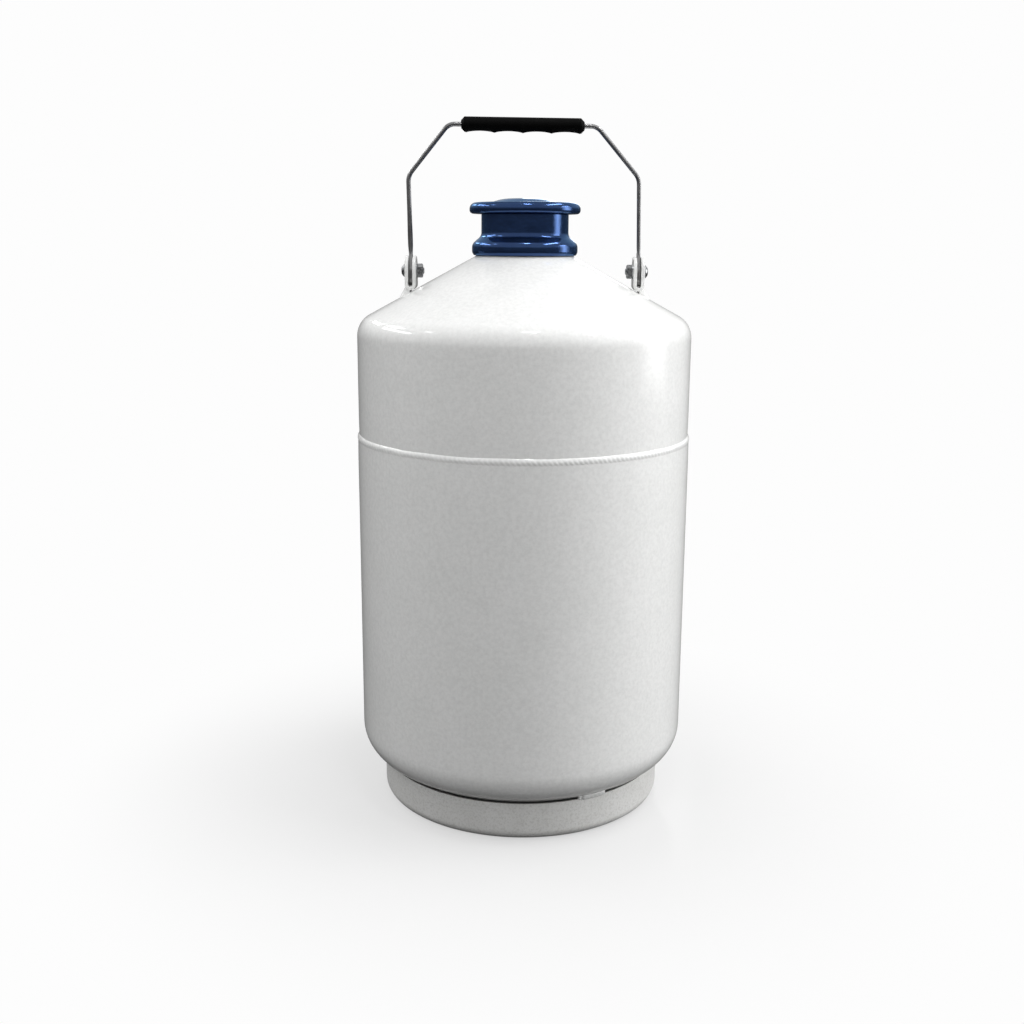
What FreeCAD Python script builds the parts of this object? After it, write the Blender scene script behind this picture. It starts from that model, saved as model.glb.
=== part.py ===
import FreeCAD, Part
import math
import os
import re

import Sketcher
from FreeCAD import Placement, Rotation, Vector

# A ten-litre liquid nitrogen dewar: a vacuum-insulated aluminium vessel that hangs from its neck
# tube inside an outer shell, with six canisters, a lid with a foam neck plug and a folding bail.
# The origin is the centre of the foot ring's underside, +Z is up, and the bail folds about X.

# Driving dimensions: name, value and meaning. Lengths are millimetres and angles are degrees.
DIMENSIONS = (
    ("lower_shell_radius", 151.5, "outside radius of the lower vacuum shell"),
    ("upper_shell_radius", 150.3, "outside radius of the upper vacuum shell"),
    ("shell_wall", 2.5, "wall of both vacuum shells"),
    ("seam_height", 341.2, "top edge of the lower shell"),
    ("joggle_depth", 8, "length of the upper shell's stepped-in edge"),
    ("joggle_gap", 0.2, "radial play of the stepped-in edge in the lower shell"),
    ("seam_gap", 1, "height of the groove that the girth weld fills"),
    ("knuckle_corner_height", 51, "where the side and the sloping floor would meet"),
    ("knuckle_angle", 58, "slope of the floor's rim from the vertical"),
    ("knuckle_radius", 32, "rounding between side and floor"),
    ("floor_height", 22, "underside of the outer floor"),
    ("floor_corner_radius", 12, "rounding into the flat of the floor"),
    ("recess_rim_radius", 96, "where the floor starts to rise"),
    ("recess_radius", 34, "flat in the middle of the floor"),
    ("recess_height", 28, "underside of that flat"),
    ("cone_top_radius", 45, "radius at which the cone's height is given"),
    ("cone_top_height", 502, "height of the cone at that radius"),
    ("cone_angle", 28.5, "slope of the cone from the horizontal"),
    ("cone_tip_radius", 20, "where the cone's blank ends, inside the neck hole"),
    ("shoulder_radius", 21, "rounding between cone and side"),
    ("bead_rise", 1, "how far the girth weld stands proud"),
    ("bead_reach", 1.5, "how far the girth weld laps onto each shell"),
    ("bead_shoulder", 1.3, "height of the slope at each side of the girth weld"),
    ("bead_rounding", 1.2, "rounding of the girth weld's crest"),
    ("foot_radius", 131, "outside radius of the foot ring"),
    ("foot_wall", 2, "wall of the foot ring"),
    ("foot_height", 36, "height of the foot ring"),
    ("foot_flange", 17, "width of the foot ring's turned-in flange"),
    ("foot_edge_radius", 10, "rounding of the foot ring's lower edge"),
    ("stitch_length", 28, "length of each stitch weld on the foot ring"),
    ("stitch_rise", 1.6, "how far a stitch weld stands proud"),
    ("stitch_inset", 0.1, "how far a stitch weld stays off the foot ring's inner face"),
    ("neck_bore_radius", 25, "bore of the neck"),
    ("neck_tube_wall", 1.2, "wall of the laminated neck tube"),
    ("neck_tube_bottom", 338, "lower end of the neck tube"),
    ("neck_top", 520, "upper end of the neck tube"),
    ("glue_gap", 0.1, "radial glue line round the neck tube"),
    ("neck_ring_radius", 33, "outside radius of the upper neck ring"),
    ("neck_ring_bottom", 488, "lower end of the upper neck ring"),
    ("neck_ring_step", 512, "height of the upper neck ring's shoulder"),
    ("neck_sleeve_radius", 30, "radius above that shoulder"),
    ("socket_radius", 31, "outside radius of the lower neck ring"),
    ("socket_bottom", 334, "lower end of the lower neck ring"),
    ("socket_top", 356, "upper end of the lower neck ring"),
    ("boss_radius", 45, "outside radius of that ring's flange, set into the vessel's roof"),
    ("vessel_radius", 118, "outside radius of the inner vessel"),
    ("vessel_wall", 1.5, "wall of the inner vessel"),
    ("vessel_seam", 205, "height of the inner vessel's girth seam"),
    ("vessel_floor", 62, "underside of the inner vessel"),
    ("vessel_floor_radius", 60, "flat of the inner vessel's floor"),
    ("vessel_floor_corner", 70, "where its floor and side would meet"),
    ("vessel_roof_corner", 326, "where its side and roof would meet"),
    ("vessel_roof_top", 348, "height of its roof's blank at the neck"),
    ("vessel_rounding", 28, "rounding of its floor and roof edges"),
    ("vessel_bead_rise", 1, "how far its seam weld stands proud"),
    ("vessel_bead_width", 5, "height of its seam weld"),
    ("wrap_thickness", 15, "thickness of the wound insulation"),
    ("wrap_gap", 0.3, "play between vessel and insulation"),
    ("wrap_bottom", 78, "lower end of the side wrap"),
    ("wrap_top", 316, "upper end of the side wrap"),
    ("pad_radius", 112, "radius of the floor insulation"),
    ("pad_height", 40, "underside of the floor insulation"),
    ("pad_thickness", 8.5, "thickness of the floor insulation"),
    ("cap_thickness", 14, "thickness of the roof insulation"),
    ("tray_radius", 58, "outside radius of the adsorbent tray"),
    ("tray_wall", 1, "wall of the adsorbent tray"),
    ("tray_rounding", 3, "rounding of the tray's lower edge"),
    ("tray_bottom", 49, "underside of the adsorbent tray"),
    ("getter_radius", 8, "radius of the getter capsule"),
    ("getter_height", 8, "height of the getter capsule"),
    ("getter_offset", 48, "distance of the getter capsule from the axis"),
    ("port_radius", 12, "outside radius of the vacuum port tube"),
    ("port_bore", 8, "bore radius of the vacuum port tube"),
    ("port_bottom", 12, "lower end of the vacuum port tube"),
    ("port_top", 33, "upper end of the vacuum port tube"),
    ("port_plug_gap", 0.1, "radial play of the port plug"),
    ("port_plug_bottom", 14, "lower end of the port plug"),
    ("port_plug_top", 28, "upper end of the port plug"),
    ("port_plug_rounding", 1, "rounding of its upper edge"),
    ("port_ring_radius", 0.9, "section radius of the port's sealing ring"),
    ("port_ring_height", 21, "height of the port's sealing ring"),
    ("port_cap_wall", 1.4, "wall of the port's dust cap"),
    ("port_cap_bottom", 6, "lower end of the port's dust cap"),
    ("port_cap_top", 19, "upper end of the port's dust cap"),
    ("port_cap_rounding", 2, "rounding of the dust cap's lower edge"),
    ("gasket_inner_radius", 36, "inside radius of the collar gasket"),
    ("gasket_outer_radius", 43.8, "outside radius of the collar gasket"),
    ("gasket_thickness", 1.6, "thickness of the collar gasket, measured upright"),
    ("collar_radius", 47.1, "widest radius of the index collar"),
    ("collar_shoulder", 513.2, "where its side and sloping top would meet"),
    ("collar_shoulder_radius", 5, "rounding of that edge"),
    ("collar_foot", 503.4, "height of the collar's lower edge, which hides the gasket"),
    ("collar_edge_radius", 2.8, "rounding of that edge"),
    ("waist_radius", 38.2, "radius of its waist"),
    ("waist_bottom", 521.6, "where its waist and sloping top would meet"),
    ("waist_fillet", 3.5, "rounding into the waist"),
    ("collar_top", 539.3, "top of the index collar, where the lid rests"),
    ("collar_play", 0.3, "play round the neck ring inside the collar"),
    ("rim_radius", 0.8, "small rounding of the collar's top rim"),
    ("hook_slot_width", 3.2, "width of the six hook slots in the collar's rim"),
    ("hook_slot_depth", 5.2, "depth of the hook slots"),
    ("hook_slot_start", 23, "inner end of the cut that makes them"),
    ("hook_slot_end", 34.7, "outer end of the hook slots"),
    ("hook_hole_radius", 1.7, "radius of the hole that a hook's tip drops into"),
    ("hook_hole_depth", 11, "depth of that hole below the rim"),
    ("lid_radius", 49.3, "radius of the lid"),
    ("lid_shelf", 549, "height of the lid's flat rim"),
    ("lid_edge_radius", 4.7, "rounding of the lid's upper edge"),
    ("lid_lip_radius", 4.2, "rounding of the lid's lower edge"),
    ("dome_top", 552.8, "highest ring of the lid's raised middle"),
    ("dome_radius", 22, "radius of that ring"),
    ("dome_foot_radius", 30, "where the raised middle meets the lid's rim"),
    ("dome_dish", 1.1, "how far the middle of the lid is dished"),
    ("dome_rounding", 7, "rounding of the raised middle"),
    ("dome_foot_rounding", 5, "rounding where it meets the lid's rim"),
    ("dish_rounding", 20, "rounding of the dished middle"),
    ("plug_radius", 21.3, "radius of the foam neck plug"),
    ("plug_bottom", 415, "lower end of the foam neck plug"),
    ("plug_top", 545.9, "upper end of the foam neck plug"),
    ("plug_chamfer", 3, "bevel of the plug's lower edge"),
    ("retainer_radius", 26, "outside radius of the ring that holds the plug in the lid"),
    ("retainer_play", 0.1, "play of that ring"),
    ("leg_offset", 101.8, "distance of each bail leg from the axis"),
    ("pivot_height", 489.5, "height of the bail's pivot"),
    ("slot_width", 3.8, "gap between a lug's two ears"),
    ("ear_thickness", 3, "thickness of a lug's ears"),
    ("ear_width", 25, "width of a lug's ears"),
    ("ear_top", 13, "height of the ears above the pivot"),
    ("ear_corner_radius", 12.3, "rounding of the ears' upper corners"),
    ("lug_floor", 472.6, "underside of a lug's bend"),
    ("bend_flat", 0.05, "half of the flat left between two full rounds, in the lugs and the eyes"),
    ("lug_weld_leg", 5.5, "width of the weld beside a lug"),
    ("lug_weld_height", 8, "height of the weld beside a lug"),
    ("lug_weld_depth", 4, "how far the weld's blank reaches into the cone before it is trimmed"),
    ("lug_weld_root", 1, "how far the weld's root stays outside the lug's middle, and above its floor"),
    ("bolt_radius", 3, "radius of the pivot bolts"),
    ("bolt_play", 0.08, "running clearance of the bail eyes on the bolts"),
    ("bolt_head_radius", 6, "radius of a pivot bolt's domed head"),
    ("bolt_head_height", 3.7, "height of a pivot bolt's head"),
    ("head_edge_height", 1.2, "height of the head's straight edge"),
    ("head_edge_rounding", 1, "rounding of that edge"),
    ("head_flat_radius", 3, "radius of the flat on top of the head"),
    ("head_dome_rounding", 4, "rounding round that flat"),
    ("bolt_bevel", 0.4, "bevel of the bolt's end"),
    ("washer_radius", 6.5, "radius of the washers"),
    ("washer_thickness", 1, "thickness of the washers"),
    ("nut_corner_radius", 6.2, "corner radius of the hexagon nuts"),
    ("nut_height", 4.6, "height of the hexagon nuts"),
    ("nut_bevel", 1.2, "how far the bevel takes off the nuts' corners"),
    ("bolt_end", 1.2, "length of bolt that shows beyond a nut"),
    ("wire_radius", 2, "radius of the bail's wire"),
    ("eye_radius", 7, "radius of the bail's flattened eyes"),
    ("eye_drop", 4.5, "how far an eye's round end lies below the pivot"),
    ("eye_thickness", 3.2, "thickness of the flattened eyes"),
    ("eye_neck_height", 505, "upper end of the flattened stretch"),
    ("eye_flank", 6.6, "half the width of that stretch at its foot"),
    ("eye_flank_rise", 2.1, "height of its foot above the pivot"),
    ("wire_overlap", 1, "how far the wire runs into the flattened stretch"),
    ("bail_shoulder_height", 571, "lower bends of the bail"),
    ("bail_corner_offset", 65, "distance of the bail's upper bends from the axis"),
    ("bail_top", 614.8, "height of the wire in the grip"),
    ("lower_bend_radius", 14, "radius of the bail's lower bends"),
    ("upper_bend_radius", 12, "radius of the bail's upper bends"),
    ("grip_length", 108, "length of the grip"),
    ("grip_radius", 6.5, "radius of the grip"),
    ("grip_bevel", 3, "bevel of the grip's ends"),
    ("grip_bevel_rounding", 2, "rounding of that bevel"),
    ("grip_play", 0.05, "play between the grip and the wire"),
    ("finger_count", 4, "number of finger hollows under the grip"),
    ("finger_pitch", 25, "distance between the finger hollows under the grip"),
    ("finger_depth", 1.1, "depth of a finger hollow"),
    ("finger_radius", 66, "radius of a finger hollow"),
    ("canister_count", 6, "number of canisters"),
    ("canister_circle", 62, "distance of each canister from the axis"),
    ("cup_radius", 19, "outside radius of a canister"),
    ("cup_wall", 0.8, "wall of a canister"),
    ("cup_rounding", 2, "rounding of a canister's lower edge"),
    ("cup_bottom", 72, "underside of a canister"),
    ("cup_height", 120, "height of a canister"),
    ("drain_radius", 3, "radius of the drain holes in a canister's floor"),
    ("drain_circle", 11, "distance of the drain holes from the canister's axis"),
    ("drain_count", 6, "number of drain holes round the one in the middle"),
    ("rod_radius", 1.25, "radius of a canister's hook rod"),
    ("rod_neck_offset", 23.4, "distance of the rods from the axis inside the neck"),
    ("rod_foot", 150, "lower end of a hook rod"),
    ("rod_lower_bend", 205, "height at which a rod leaves its canister"),
    ("rod_upper_bend", 330, "height at which a rod enters the neck"),
    ("rod_bend_radius", 30, "radius of those two bends"),
    ("hook_height", 536.6, "height of a hook in its slot"),
    ("hook_reach", 33, "distance of a hook's tip from the axis"),
    ("hook_bend_radius", 3, "radius of a hook's two bends"),
    ("hook_tip", 530, "lower end of a hook's tip"),
    ("spider_radius", 94, "reach of the canister divider's fins"),
    ("spider_base_radius", 44, "radius of the divider's base plate"),
    ("spider_plate", 1.2, "thickness of the divider's plate and fins"),
    ("spider_hub_radius", 11, "outside radius of the divider's hub"),
    ("spider_height", 26, "height of the divider"),
)
NAMES = {name for name, value, meaning in DIMENSIONS}
SHEET = "Dimensions"

doc = FreeCAD.newDocument("Dewar")
nodes = {}


def make_sheet():
    """Writes the driving dimensions into the spreadsheet."""
    table = doc.addObject("Spreadsheet::Sheet", SHEET)
    for row, (name, value, meaning) in enumerate(DIMENSIONS, start=1):
        table.set(f"A{row}", name)
        table.set(f"B{row}", str(value))
        table.setAlias(f"B{row}", name)
        table.set(f"C{row}", meaning)
    doc.recompute()
    return table


sheet = make_sheet()


def bound(expression):
    """The expression with each dimension's name pointing at its spreadsheet cell."""
    def full(match):
        word = match.group(0)
        return f"{SHEET}.{word}" if word in NAMES else word
    return re.sub(r"[a-z_]+", full, str(expression))


def number(expression):
    """What an expression comes to now."""
    return float(sheet.evalExpression(bound(expression)))


def bind(feature, prop, expression):
    """Ties one property of a feature to the spreadsheet."""
    feature.setExpression(prop, bound(expression))


# Heights of the sloping surfaces, as expressions in a radius.

def cone_height(radius):
    return f"(cone_top_height - (({radius}) - cone_top_radius) * tan(cone_angle))"


def floor_rim_height(radius):
    return f"(knuckle_corner_height - (lower_shell_radius - ({radius})) / tan(knuckle_angle))"


ROOF_SLOPE = "((vessel_roof_top - vessel_roof_corner) / (vessel_radius - neck_bore_radius))"


def roof_height(radius):
    return f"(vessel_roof_corner + (vessel_radius - ({radius})) * {ROOF_SLOPE})"


def roof_underside(radius):
    return f"({roof_height(radius)} - vessel_wall / cos(atan({ROOF_SLOPE})))"


# Sketches.

class Corner:
    """One corner of an outline, with the two ends of its rounding and that rounding's centre."""

    def __init__(self, across, up, rounding=None):
        self.across = across
        self.up = up
        self.rounding = rounding
        self.point = Vector(number(across), number(up), 0)
        self.first = self.point
        self.last = self.point
        self.arc = None

    def round_off(self, before, after):
        back = (before.point - self.point).normalize()
        ahead = (after.point - self.point).normalize()
        radius = number(self.rounding)
        half = back.getAngle(ahead) / 2
        self.first = self.point + back * (radius / math.tan(half))
        self.last = self.point + ahead * (radius / math.tan(half))
        centre = self.point + (back + ahead).normalize() * (radius / math.sin(half))
        self.leftward = ahead.cross(back).z > 0
        start, end = (self.first, self.last) if self.leftward else (self.last, self.first)
        angles = [math.atan2(p.y - centre.y, p.x - centre.x) for p in (start, end)]
        if angles[1] < angles[0]:
            angles[1] += 2 * math.pi
        circle = Part.Circle(centre, Vector(0, 0, 1), radius)
        self.arc = Part.ArcOfCircle(circle, *angles)


class Outline:
    """A chain of straight runs with rounded corners, held in place by bound constraints."""

    def __init__(self, sketch, corners, closed=True):
        self.sketch = sketch
        self.rules = []
        self.bindings = []
        chain = [Corner(*corner) for corner in corners]
        for i, corner in enumerate(chain):
            if corner.rounding is not None:
                corner.round_off(chain[i - 1], chain[(i + 1) % len(chain)])
        last = len(chain) if closed else len(chain) - 1
        runs = [self.run(chain[i], chain[(i + 1) % len(chain)]) for i in range(last)]
        for i, corner in enumerate(chain):
            into = runs[i - 1] if closed or i > 0 else None
            out = runs[i] if i < last else None
            self.pin(corner, into, out)
        self.apply()

    def run(self, start, end):
        return self.sketch.addGeometry(Part.LineSegment(start.last, end.first), False)

    def rule(self, *values):
        self.rules.append(Sketcher.Constraint(*values))
        return len(self.rules) - 1

    def place(self, geometry, end, across, up):
        for kind, axis, expression in (("DistanceX", -2, across), ("DistanceY", -1, up)):
            if str(expression) == "0":
                self.rule("PointOnObject", geometry, end, axis)
            else:
                index = self.rule(kind, -1, 1, geometry, end, number(expression))
                self.bindings.append((index, expression))

    def pin(self, corner, into, out):
        if corner.arc is None:
            if into is not None and out is not None:
                self.rule("Coincident", into, 2, out, 1)
            geometry, end = (out, 1) if out is not None else (into, 2)
            self.place(geometry, end, corner.across, corner.up)
            return
        arc = self.sketch.addGeometry(corner.arc, False)
        mark = self.sketch.addGeometry(Part.Point(corner.point), True)
        near, far = (1, 2) if corner.leftward else (2, 1)
        self.rule("Tangent", into, 2, arc, near)
        self.rule("Tangent", arc, far, out, 1)
        self.rule("PointOnObject", mark, 1, into)
        self.rule("PointOnObject", mark, 1, out)
        self.bindings.append((self.rule("Radius", arc, number(corner.rounding)), corner.rounding))
        self.place(mark, 1, corner.across, corner.up)

    def apply(self):
        first = self.sketch.ConstraintCount
        self.sketch.addConstraint(self.rules)
        for index, expression in self.bindings:
            name = f"size_{first + index}"
            self.sketch.renameConstraint(first + index, name)
            bind(self.sketch, f"Constraints.{name}", expression)


def make_body(label):
    body = doc.addObject("PartDesign::Body", label)
    body.Label = label
    return body


def origin_part(body, role):
    return next(f for f in body.Origin.OriginFeatures if f.Role == role)


def make_sketch(body, role, lift="0"):
    """A sketch on one of the body's own origin planes, moved along that plane's normal."""
    sketch = body.newObject("Sketcher::SketchObject", f"{body.Label}_sketch")
    sketch.AttachmentSupport = (origin_part(body, role), [""])
    sketch.MapMode = "FlatFace"
    if str(lift) != "0":
        bind(sketch, "AttachmentOffset.Base.z", lift)
    return sketch


def make_circle(body, role, across, up, radius, lift="0"):
    """A sketch of one circle."""
    sketch = make_sketch(body, role, lift)
    centre = Vector(number(across), number(up), 0)
    circle = Part.Circle(centre, Vector(0, 0, 1), number(radius))
    sketch.addGeometry(circle, False)
    sketch.addConstraint(Sketcher.Constraint("Radius", 0, number(radius)))
    sketch.renameConstraint(0, "size_radius")
    bind(sketch, "Constraints.size_radius", radius)
    for kind, axis, expression in (("DistanceX", -2, across), ("DistanceY", -1, up)):
        if str(expression) == "0":
            sketch.addConstraint(Sketcher.Constraint("PointOnObject", 0, 3, axis))
        else:
            index = sketch.addConstraint(
                Sketcher.Constraint(kind, -1, 1, 0, 3, number(expression)))
            sketch.renameConstraint(index, f"size_{kind}")
            bind(sketch, f"Constraints.size_{kind}", expression)
    return sketch


# Features.

def turn(body, corners, kind="Revolution", axis="V_Axis", angle="360"):
    """Revolves an outline of (radius, height) corners about the body's axis, or cuts with it."""
    sketch = make_sketch(body, "XZ_Plane")
    Outline(sketch, corners)
    feature = body.newObject(f"PartDesign::{kind}", f"{body.Label}_{kind.lower()}")
    feature.Profile = sketch
    feature.ReferenceAxis = (sketch, [axis])
    bind(feature, "Angle", angle)
    return feature


def extrude(body, sketch, length, kind="Pad", symmetric=False):
    """Pads a sketch, or pockets with it."""
    feature = body.newObject(f"PartDesign::{kind}", f"{body.Label}_{kind.lower()}")
    feature.Profile = sketch
    if symmetric:
        feature.SideType = "Symmetric"
    bind(feature, "Length", length)
    return feature


def sweep(body, profile, corners):
    """Sweeps a round section along an open route in the XZ plane."""
    route = make_sketch(body, "XZ_Plane")
    Outline(route, corners, closed=False)
    feature = body.newObject("PartDesign::AdditivePipe", f"{body.Label}_pipe")
    feature.Profile = profile
    feature.Spine = route
    return feature


def repeat_round(body, originals, count, angle="360"):
    """Repeats features round the body's Z axis."""
    pattern = body.newObject("PartDesign::PolarPattern", f"{body.Label}_pattern")
    pattern.Originals = originals
    pattern.Axis = (origin_part(body, "Z_Axis"), [""])
    bind(pattern, "Angle", angle)
    bind(pattern, "Occurrences", count)
    body.Tip = pattern
    return pattern


def hollow_out(body, wall, open_height):
    """Turns the solid into a shell that is open in the flat face at one height."""
    doc.recompute()
    base = body.Tip
    height = number(open_height)
    open_faces = [
        f"Face{i}" for i, face in enumerate(base.Shape.Faces, start=1)
        if face.BoundBox.ZLength < 1e-6 and abs(face.BoundBox.ZMin - height) < 1e-6
    ]
    shell = body.newObject("PartDesign::Thickness", f"{body.Label}_wall")
    shell.Base = (base, open_faces)
    shell.Reversed = True
    bind(shell, "Value", wall)


def bore_through(body, radius, low, high):
    """Cuts a round hole on the axis."""
    turn(body, [("0", low), (radius, low), (radius, high), ("0", high)], "Groove")


def turned_piece(label, corners):
    """A node that is one plain revolved solid."""
    body = make_body(label)
    turn(body, corners)
    nodes[label] = body
    return body


def tube(label, inner, outer, low, high):
    """A node that is a plain ring or tube about the axis."""
    return turned_piece(label, [(inner, low), (outer, low), (outer, high), (inner, high)])


def mirrored(name, source):
    """The same piece on the other side of the YZ plane."""
    copy = doc.addObject("Part::Mirroring", name)
    copy.Source = source
    copy.Normal = Vector(1, 0, 0)
    return copy


def grouped(label, members):
    """A node of several separate solids."""
    group = doc.addObject("Part::Compound", label)
    group.Label = label
    group.Links = members
    nodes[label] = group


def pair(label, right):
    """A node of a piece on the right and its mirror image on the left."""
    grouped(label, [right, mirrored(f"{right.Label}_mirrored", right)])


# The outer vacuum vessel.

def make_lower_shell():
    body = make_body("outer_shell_lower")
    floor_radius = "lower_shell_radius - (knuckle_corner_height - floor_height) * tan(knuckle_angle)"
    turn(body, [
        ("0", "seam_height"),
        ("lower_shell_radius", "seam_height"),
        ("lower_shell_radius", "knuckle_corner_height", "knuckle_radius"),
        (floor_radius, "floor_height", "floor_corner_radius"),
        ("recess_rim_radius", "floor_height"),
        ("recess_radius", "recess_height"),
        ("0", "recess_height"),
    ])
    hollow_out(body, "shell_wall", "seam_height")
    bore_through(body, "port_radius", "floor_height", "recess_height + 2 * shell_wall")
    nodes["outer_shell_lower"] = body


def make_upper_shell():
    body = make_body("outer_shell_upper")
    joggle_radius = "lower_shell_radius - shell_wall - joggle_gap"
    rim = "seam_height - joggle_depth"
    turn(body, [
        ("0", rim),
        (joggle_radius, rim),
        (joggle_radius, "seam_height + seam_gap"),
        ("upper_shell_radius", "seam_height + 2 * seam_gap"),
        ("upper_shell_radius", cone_height("upper_shell_radius"), "shoulder_radius"),
        ("cone_tip_radius", cone_height("cone_tip_radius")),
        ("0", cone_height("cone_tip_radius")),
    ])
    hollow_out(body, "shell_wall", rim)
    bore_through(body, "neck_ring_radius", "neck_ring_bottom", "neck_top")
    nodes["outer_shell_upper"] = body


def make_girth_weld():
    joggle_radius = "lower_shell_radius - shell_wall - joggle_gap"
    crest = "lower_shell_radius + bead_rise"
    turned_piece("girth_weld", [
        (joggle_radius, "seam_height"),
        ("lower_shell_radius", "seam_height"),
        ("lower_shell_radius", "seam_height - bead_reach"),
        (crest, "seam_height - bead_reach + bead_shoulder", "bead_rounding"),
        (crest, "seam_height + 2 * seam_gap + bead_reach - bead_shoulder", "bead_rounding"),
        ("upper_shell_radius", "seam_height + 2 * seam_gap + bead_reach"),
        ("upper_shell_radius", "seam_height + 2 * seam_gap"),
        (joggle_radius, "seam_height + seam_gap"),
    ])


def make_foot_ring():
    turned_piece("foot_ring", [
        ("foot_radius - foot_flange", "0"),
        ("foot_radius", "0", "foot_edge_radius"),
        ("foot_radius", "foot_height"),
        ("foot_radius - foot_wall", "foot_height"),
        ("foot_radius - foot_wall", "foot_wall", "foot_edge_radius - foot_wall"),
        ("foot_radius - foot_flange", "foot_wall"),
    ])


def make_stitch_weld(index, angle):
    """A short bead that bridges the foot ring's rim and the sloping floor above it."""
    body = make_body(f"stitch_{index}")
    crest = "foot_radius + stitch_rise"
    root = "foot_radius - foot_wall + stitch_inset"
    feature = turn(body, [
        ("foot_radius", "foot_height"),
        ("foot_radius", "foot_height - stitch_rise"),
        (crest, "foot_height", "stitch_rise"),
        (crest, floor_rim_height(crest)),
        (root, floor_rim_height(root)),
        (root, "foot_height"),
    ], angle="stitch_length / foot_radius * 180 / pi")
    feature.Midplane = True
    body.Placement = Placement(Vector(), Rotation(Vector(0, 0, 1), angle))
    return body


def make_foot_welds():
    """Four stitches, at these angles from +X."""
    angles = (-61, -160, 118, 20)
    grouped("foot_ring_welds", [make_stitch_weld(i, a) for i, a in enumerate(angles, start=1)])


# The neck and the inner vessel.

def make_neck():
    outside = "neck_bore_radius + neck_tube_wall"
    fit = f"{outside} + glue_gap"
    tube("neck_tube", "neck_bore_radius", outside, "neck_tube_bottom", "neck_top")
    turned_piece("neck_ring_upper", [
        (fit, "neck_ring_bottom"),
        ("neck_ring_radius", "neck_ring_bottom"),
        ("neck_ring_radius", "neck_ring_step"),
        ("neck_sleeve_radius", "neck_ring_step"),
        ("neck_sleeve_radius", "neck_top"),
        (fit, "neck_top"),
    ])
    turned_piece("neck_ring_lower", [
        ("neck_bore_radius", "socket_bottom"),
        ("socket_radius", "socket_bottom"),
        ("socket_radius", roof_underside("socket_radius")),
        ("boss_radius", roof_underside("boss_radius")),
        ("boss_radius", roof_height("boss_radius")),
        ("socket_radius", roof_height("socket_radius")),
        ("socket_radius", "socket_top"),
        (fit, "socket_top"),
        (fit, "neck_tube_bottom"),
        ("neck_bore_radius", "neck_tube_bottom"),
    ])


def make_vessel_lower():
    body = make_body("inner_vessel_lower")
    turn(body, [
        ("0", "vessel_seam"),
        ("vessel_radius", "vessel_seam"),
        ("vessel_radius", "vessel_floor_corner", "vessel_rounding"),
        ("vessel_floor_radius", "vessel_floor"),
        ("0", "vessel_floor"),
    ])
    hollow_out(body, "vessel_wall", "vessel_seam")
    nodes["inner_vessel_lower"] = body


def make_vessel_upper():
    body = make_body("inner_vessel_upper")
    turn(body, [
        ("0", "vessel_seam"),
        ("vessel_radius", "vessel_seam"),
        ("vessel_radius", "vessel_roof_corner", "vessel_rounding"),
        ("neck_bore_radius", "vessel_roof_top"),
        ("0", "vessel_roof_top"),
    ])
    hollow_out(body, "vessel_wall", "vessel_seam")
    bore_through(body, "boss_radius", "socket_bottom", "socket_top")
    nodes["inner_vessel_upper"] = body


def make_vessel_weld():
    crest = "vessel_radius + vessel_bead_rise"
    turned_piece("inner_girth_weld", [
        ("vessel_radius", "vessel_seam - vessel_bead_width / 2"),
        (crest, "vessel_seam - vessel_bead_width / 4"),
        (crest, "vessel_seam + vessel_bead_width / 4"),
        ("vessel_radius", "vessel_seam + vessel_bead_width / 2"),
    ])


def make_insulation():
    """Wound foil and paper: a wrap round the side, a pad below and a cap on the roof."""
    inner = "vessel_radius + vessel_bead_rise + wrap_gap"
    outer = f"{inner} + wrap_thickness"
    tube("insulation_wrap", inner, outer, "wrap_bottom", "wrap_top")
    tube("insulation_pad", "port_radius", "pad_radius", "pad_height", "pad_height + pad_thickness")
    rise = "wrap_top + wrap_gap"
    hole = "socket_radius + wrap_gap"
    turned_piece("insulation_cap", [
        (hole, roof_height(hole) + " + wrap_gap"),
        ("vessel_radius", roof_height("vessel_radius") + " + wrap_gap"),
        (outer, rise),
        (outer, rise + " + cap_thickness"),
        (hole, roof_height(hole) + " + cap_thickness"),
    ])


def make_adsorbent():
    """A tray of molecular sieve on the cold floor, and a getter capsule on the warm floor."""
    body = make_body("adsorbent_tray")
    turn(body, [
        ("0", "tray_bottom"),
        ("tray_radius", "tray_bottom", "tray_rounding"),
        ("tray_radius", "vessel_floor"),
        ("tray_radius - tray_wall", "vessel_floor"),
        ("tray_radius - tray_wall", "tray_bottom + tray_wall", "tray_rounding - tray_wall"),
        ("0", "tray_bottom + tray_wall"),
    ])
    nodes["adsorbent_tray"] = body
    turned_piece("adsorbent", [
        ("0", "tray_bottom + tray_wall"),
        ("tray_radius - 3 * tray_wall", "tray_bottom + tray_wall"),
        ("tray_radius - 3 * tray_wall", "vessel_floor - tray_wall"),
        ("0", "vessel_floor - tray_wall"),
    ])


def make_getter():
    capsule = doc.addObject("Part::Cylinder", "getter_capsule")
    capsule.Label = "getter_capsule"
    bind(capsule, "Radius", "getter_radius")
    bind(capsule, "Height", "getter_height")
    bind(capsule, "Placement.Base.x", "getter_offset")
    bind(capsule, "Placement.Base.z", "pad_height - getter_height")
    nodes["getter_capsule"] = capsule


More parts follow.
